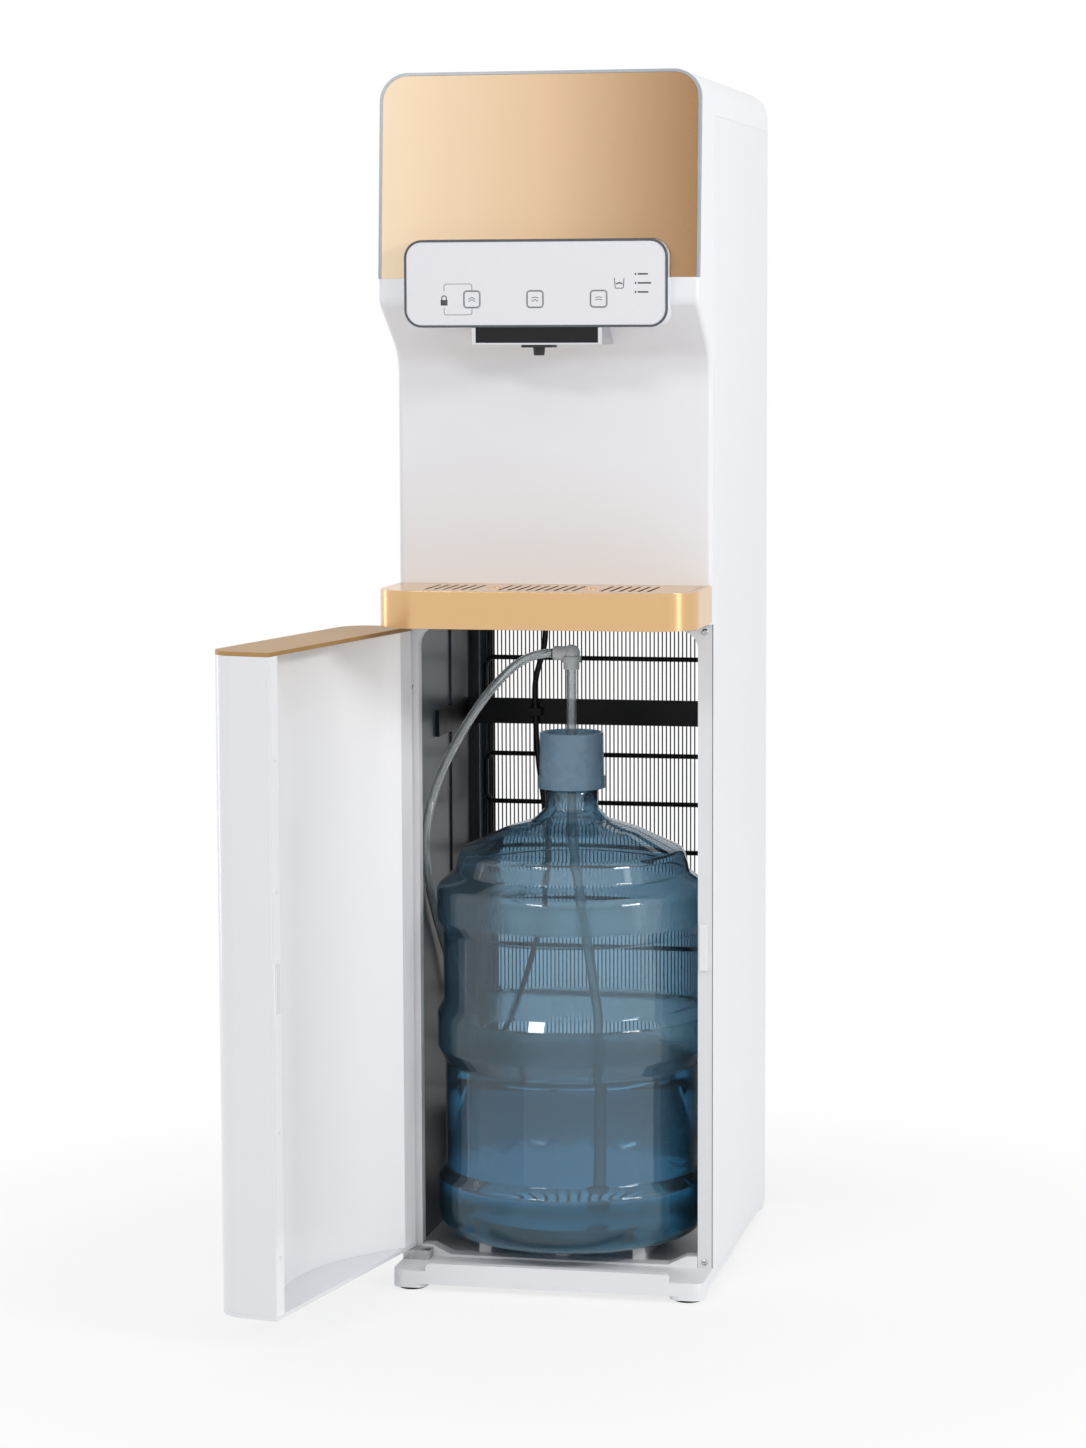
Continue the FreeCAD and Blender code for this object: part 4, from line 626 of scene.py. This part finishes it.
def waterLine():
    # the bottle's inner line up to the water's level, then a small rise at the wall and a flat top
    shape, level = waterShape, bottleShape["water"]
    line = bottleLine(bottleShape["wall"] + shape["gap"], bottleShape["top"])
    below = line[line[:, 1] < level - shape["cut"]]
    edge = below[-1, 0]
    lipIn, lipUp, lipArc = shape["lip"]
    surface = roundedLine([(edge, level + shape["climb"], 0), (edge - lipIn, level + lipUp, lipArc),
                           (edge - shape["calm"][0], level, shape["calm"][1]), (0, level, 0)],
                          shape["arcSteps"])
    return np.concatenate([below, surface])


addPiece("bottle_water_still", turnedMesh("bottle_water_still", waterLine() * mm, bottleShape["centre"],
                                          bottleShape["steps"]), "waterBlue", "bottle_set",
         ("bottle_water",))
print("bottle made")


hoseShape = {"exit": (-0.0205, 0.084, 0.619), "length": 0.608, "outer": 4.5, "bore": 3.0,
             "side": (0.3, -0.95, 0.0),
             "route": [(-20.5, 84, 619), (-46.5, 84, 619), (-86, 83, 582), (-119, 81, 532), (-141, 74, 484),
                       (-147.5, 54, 442), (-147.5, 62, 396), (-147, 95, 352), (-146, 138, 306),
                       (-143, 180, 258), (-136, 216, 214), (-126, 238, 176), (-126, 238, 134)]}


def splinePoints(route, steps=14):
    # points read from a NURBS line of order 3 through the route
    curve = bpy.data.curves.new("route", "CURVE")
    curve.dimensions = "3D"
    curve.resolution_u = steps
    spline = curve.splines.new("NURBS")
    spline.points.add(len(route) - 1)
    spline.points.foreach_set("co", np.hstack([np.array(route) * mm, np.ones((len(route), 1))]).ravel())
    spline.order_u = 3
    spline.use_endpoint_u = True
    holder = bpy.data.objects.new("route", curve)
    scene.collection.objects.link(holder)
    line = bpy.data.meshes.new_from_object(holder)
    points = np.zeros(len(line.vertices) * 3, np.float32)
    line.vertices.foreach_get("co", points)
    bpy.data.objects.remove(holder)
    bpy.data.curves.remove(curve)
    bpy.data.meshes.remove(line)
    return points.reshape(-1, 3).astype(float)


hosePath = splinePoints(hoseShape["route"])
hoseRadii = (hoseShape["outer"] * mm, hoseShape["bore"] * mm)
hose = addPiece("clear_hose", tubeMesh("clear_hose", hosePath, hoseRadii, hoseShape["side"]), "hoseClear",
                None, ("water_hose",))
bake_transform(hose)
print("hose made")


printShape = {"plate": -97.9, "key": -98.2, "proud": 0.06, "thick": 0.1, "line": 0.7, "keyZ": 970.0,
              "pitch": 61.0, "half": 7.4, "round": 2.6, "waveLow": 1.2, "waveGap": 2.2, "waveWide": 6.6,
              "waveHigh": 0.8, "waveLine": 0.6}


def print2d(name, points, width, depth, closed=False):
    shape = printShape
    return ribbonMesh(name, np.array(points, float) * mm, width * mm, (depth - shape["proud"]) * mm,
                      shape["thick"] * mm, closed)


def waveLine(x, z, wide, high, bow):
    # a shallow wave: z + high * cos(bow * pi * t), with t from -0.5 to 0.5 over its width
    t = np.linspace(-0.5, 0.5, 15)
    return np.stack([x + wide * t, z + high * np.cos(bow * math.pi * t)], axis=-1)


def keyMarks(x, bows):
    shape = printShape
    z = shape["keyZ"]
    outline = boxLine(x - shape["half"], x + shape["half"], z - shape["half"], z + shape["half"],
                      shape["round"])
    waves = [waveLine(x, z - shape["waveLow"] + shape["waveGap"] * i, shape["waveWide"], shape["waveHigh"],
                      bow) for i, bow in enumerate(bows)]
    return [print2d("outline", outline, shape["line"], shape["key"], True)] + [
        print2d("wave", wave, shape["waveLine"], shape["key"]) for wave in waves]


# body, node, place in the row and bows of the two waves of each key
for keyBody, keyNode, place, bows in (("hot_key", "key_hot", -1, (2, 2)),
                                      ("ambient_key", "key_ambient", 0, (3, 1)),
                                      ("cold_key", "key_cold", 1, (1, 1))):
    marks = keyMarks(place * printShape["pitch"], bows)
    addPiece(keyBody + "_marks", joinedMesh(keyBody + "_marks", marks), "inkGrey", keyBody)

panelMarks = {"lock": (-88.0, 968.5), "bracket": (-88.0, -61.0, 955.5, 984.5), "cup": (80.7, 985.0),
              "levels": [(95.5, 993.0, 12.5), (95.5, 984.6, 15.5), (95.5, 976.2, 13.0)]}


lockShape = {"half": 3.3, "low": 1.6, "tall": 5.2, "bowHalf": 2.2, "bowFoot": 0.6, "bowTop": 4.9, "arc": 2.1,
             "line": 1.0, "arcSteps": 6}


def lockMarks(x, z):
    depth, shape = printShape["plate"], lockShape
    low, left, right = z - shape["low"], x - shape["bowHalf"], x + shape["bowHalf"]
    foot, top = z + shape["bowFoot"], z + shape["bowTop"]
    across = [(x - shape["half"], low), (x, low), (x + shape["half"], low)]
    body = print2d("body", across, shape["tall"], depth)
    bow = roundedLine([(left, foot, 0), (left, top, shape["arc"]), (right, top, shape["arc"]),
                       (right, foot, 0)], shape["arcSteps"])
    return [body, print2d("bow", bow, shape["line"], depth)]


bracketShape = {"gap": 7.5, "past": 1.2, "arc": 2.2, "line": 0.5, "arcSteps": 6}


def bracketMarks(x0, x1, z0, z1):
    depth, middle, shape = printShape["plate"], (z0 + z1) / 2, bracketShape
    reach, gap, arc = printShape["half"] + shape["past"], shape["gap"], shape["arc"]
    upper = [(x0, middle + gap, 0), (x0, z1, arc), (x1, z1, arc), (x1, middle + reach, 0)]
    lower = [(x0, middle - gap, 0), (x0, z0, arc), (x1, z0, arc), (x1, middle - reach, 0)]
    return [print2d("bracket", roundedLine(line, shape["arcSteps"]), shape["line"], depth)
            for line in (upper, lower)]


cupShape = {"rim": (4.6, 4.4), "foot": (3.9, 5.2), "arc": 1.4, "line": 0.7, "water": (0.6, 6.4, 0.5, 2),
            "waterLine": 1.2, "arcSteps": 6}


def cupMarks(x, z):
    depth, shape = printShape["plate"], cupShape
    (rim, up), (foot, down), (low, wide, high, bow) = shape["rim"], shape["foot"], shape["water"]
    side = roundedLine([(x - rim, z + up, 0), (x - foot, z - down, shape["arc"]),
                        (x + foot, z - down, shape["arc"]), (x + rim, z + up, 0)], shape["arcSteps"])
    return [print2d("cup", side, shape["line"], depth),
            print2d("level", waveLine(x, z - low, wide, high, bow), shape["waterLine"], depth)]


levelShape = {"dot": 1.4, "dotLine": 2.0, "start": 2.8, "line": 1.5}


def levelMarks(x, z, wide):
    depth, shape = printShape["plate"], levelShape
    bar = [(x + shape["start"], z), (x + wide / 2, z), (x + wide, z)]
    return [print2d("dash", [(x, z), (x + shape["dot"], z)], shape["dotLine"], depth),
            print2d("dash", bar, shape["line"], depth)]


plateMarks = lockMarks(*panelMarks["lock"]) + bracketMarks(*panelMarks["bracket"])
plateMarks += cupMarks(*panelMarks["cup"])
plateMarks += [part for level in panelMarks["levels"] for part in levelMarks(*level)]
addPiece("panel_marks", joinedMesh("panel_marks", plateMarks), "inkGrey", "cabinet")
print("panel marks made")


ringShape = {"x": 47.0, "y": -68.5, "z": 695.0, "inside": 4.0, "outside": 5.6, "proud": 0.5, "sunk": 0.6,
             "arc": 0.4, "arcSteps": 4, "steps": 40}


def grilleRings(shape):
    # a low rounded ring round each finger hole
    inside, outside, arc = shape["inside"], shape["outside"], shape["arc"]
    low, high = shape["z"] - shape["sunk"], shape["z"] + shape["proud"]
    line = roundedLine([(inside, low, 0), (outside, low, 0), (outside, high, arc), (inside, high, arc),
                        (inside, low, 0)], shape["arcSteps"])
    places = [(side * shape["x"] * mm, shape["y"] * mm) for side in (-1, 1)]
    return [turnedMesh("ring", line[:-1] * mm, place, shape["steps"], True) for place in places]


addPiece("grille_rings", joinedMesh("grille_rings", grilleRings(ringShape)), "goldSatin", "grille")

plugShape = {"hinge": (-149.5, -9.5), "angle": -101.0, "x": 145.5, "y": -6.0, "radius": 2.0, "proud": 0.7,
             "heights": [88.0, 206.0, 430.0, 552.0], "under": -0.35, "rows": 7, "steps": 20}


def swungPoints(points, shape):
    # points of the shut door turned about its hinge to where the door stands open
    angle = math.radians(shape["angle"])
    flat = points[..., :2] - np.array(shape["hinge"])
    turned = np.stack([flat[..., 0] * math.cos(angle) - flat[..., 1] * math.sin(angle),
                       flat[..., 0] * math.sin(angle) + flat[..., 1] * math.cos(angle)], axis=-1)
    return np.concatenate([turned + np.array(shape["hinge"]), points[..., 2:]], axis=-1)


def doorPlug(height, shape):
    # a low dome on the flange: radius r cos(a), height proud * sin(a), turned round an axis along Y
    lifts = np.linspace(shape["under"], math.pi / 2, shape["rows"])
    angles = np.linspace(0, 2 * math.pi, shape["steps"], endpoint=False)
    lift, angle = np.meshgrid(lifts, angles, indexing="ij")
    grid = np.stack([shape["x"] + shape["radius"] * np.cos(lift) * np.cos(angle),
                     shape["y"] + shape["proud"] * np.sin(lift),
                     height + shape["radius"] * np.cos(lift) * np.sin(angle)], axis=-1)
    foot = np.repeat(grid[:1].mean(axis=1, keepdims=True), grid.shape[1], axis=1)
    return gridMesh("plug", swungPoints(np.concatenate([foot, grid]), shape) * mm, wrapColumns=True)


addPiece("door_plugs", joinedMesh("door_plugs", [doorPlug(h, plugShape) for h in plugShape["heights"]]),
         "frameWhite", "door")
print("fittings made")


floorShape = {"half": 9.0, "steps": 9, "colour": "#EDEDEE", "rough": 0.6, "specular": 0.1, "glow": 0.76,
              "near": 0.35, "far": 1.0}


def makeFloor(settings):
    half = settings["half"]
    side = np.linspace(-half, half, settings["steps"])
    x, y = np.meshgrid(side, side, indexing="ij")
    mesh = gridMesh("floor", np.stack([x, y, 0 * x], axis=-1))
    finish, start = blankFinish("floorWhite")
    seen = seenRays(start)
    reach = start.node("ShaderNodeTexCoord", out="Object")
    reach = reach.node("ShaderNodeVectorMath", {"operation": "LENGTH"}, {0: reach}, "Value")
    away = reach.rise(settings["near"], settings["far"])
    ground = start.node("ShaderNodeBsdfPrincipled", {}, {
        "Base Color": tint(settings["colour"]), "Roughness": settings["rough"],
        "Specular IOR Level": settings["specular"]})
    paper = start.node("ShaderNodeEmission", {}, {"Color": (1, 1, 1, 1), "Strength": 1.0})
    whiter = (settings["glow"] + away * (1 - settings["glow"])) * seen
    shader = start.node("ShaderNodeMixShader", {}, {0: whiter, 1: ground, 2: paper})
    start.node("ShaderNodeOutputMaterial", {}, {"Surface": shader})
    mesh.materials.append(finish)
    floor = bpy.data.objects.new("floor", mesh)
    scene.collection.objects.link(floor)


def seenRays(start):
    # 1 for rays from the camera, and for those that a glossy or clear surface sends on
    parts = [start.node("ShaderNodeLightPath", out=name)
             for name in ("Is Camera Ray", "Is Glossy Ray", "Is Transmission Ray")]
    return start.step("MAXIMUM", start.step("MAXIMUM", parts[0], parts[1]), parts[2])


worldLook = {"fill": 0.70}


def makeWorld(settings):
    world = bpy.data.worlds.new("studio")
    scene.world = world
    world.use_nodes = True
    world.node_tree.nodes.clear()
    start = Shade(world.node_tree)
    strength = settings["fill"] + seenRays(start) * (1 - settings["fill"])
    shader = start.node("ShaderNodeBackground", {}, {"Color": (1, 1, 1, 1), "Strength": strength})
    start.node("ShaderNodeOutputWorld", {}, {"Surface": shader})


lampLook = [
    {"name": "left", "place": (-1.05, -2.35, 2.2), "aim": (0, 0, 0.5), "size": (0.7, 0.32), "power": 12},
    {"name": "right", "place": (2.37, -1.06, 1.6), "aim": (0, 0, 0.55), "size": (0.8, 0.35), "power": 22},
    {"name": "front", "place": (0.2, -4.6, 1.7), "aim": (0, 0, 0.6), "size": (3.0, 1.8), "power": 5},
    {"name": "rightStrip", "place": (2.3, -0.85, 0.6), "aim": (0, -0.1, 0.6), "size": (0.3, 1.2),
     "power": 2.4},
    {"name": "leftStrip", "place": (-2.1, 0.7, 0.6), "aim": (0, -0.1, 0.6), "size": (0.3, 1.2),
     "power": 2.4},
]


def makeLamp(settings):
    light = bpy.data.lights.new(settings["name"], "AREA")
    light.shape = "RECTANGLE"
    light.size, light.size_y = settings["size"]
    light.energy = settings["power"]
    lamp = bpy.data.objects.new(settings["name"], light)
    scene.collection.objects.link(lamp)
    place, aim = np.array(settings["place"]), np.array(settings["aim"])
    back = (place - aim) / np.linalg.norm(place - aim)
    right = np.cross((0, 0, 1), back)
    right = right / np.linalg.norm(right)
    up = np.cross(back, right)
    rows = [[right[i], up[i], back[i], place[i]] for i in range(3)] + [[0, 0, 0, 1]]
    lamp.matrix_world = Matrix(rows)


makeFloor(floorShape)
makeWorld(worldLook)
for lampSettings in lampLook:
    makeLamp(lampSettings)
print("stage made")
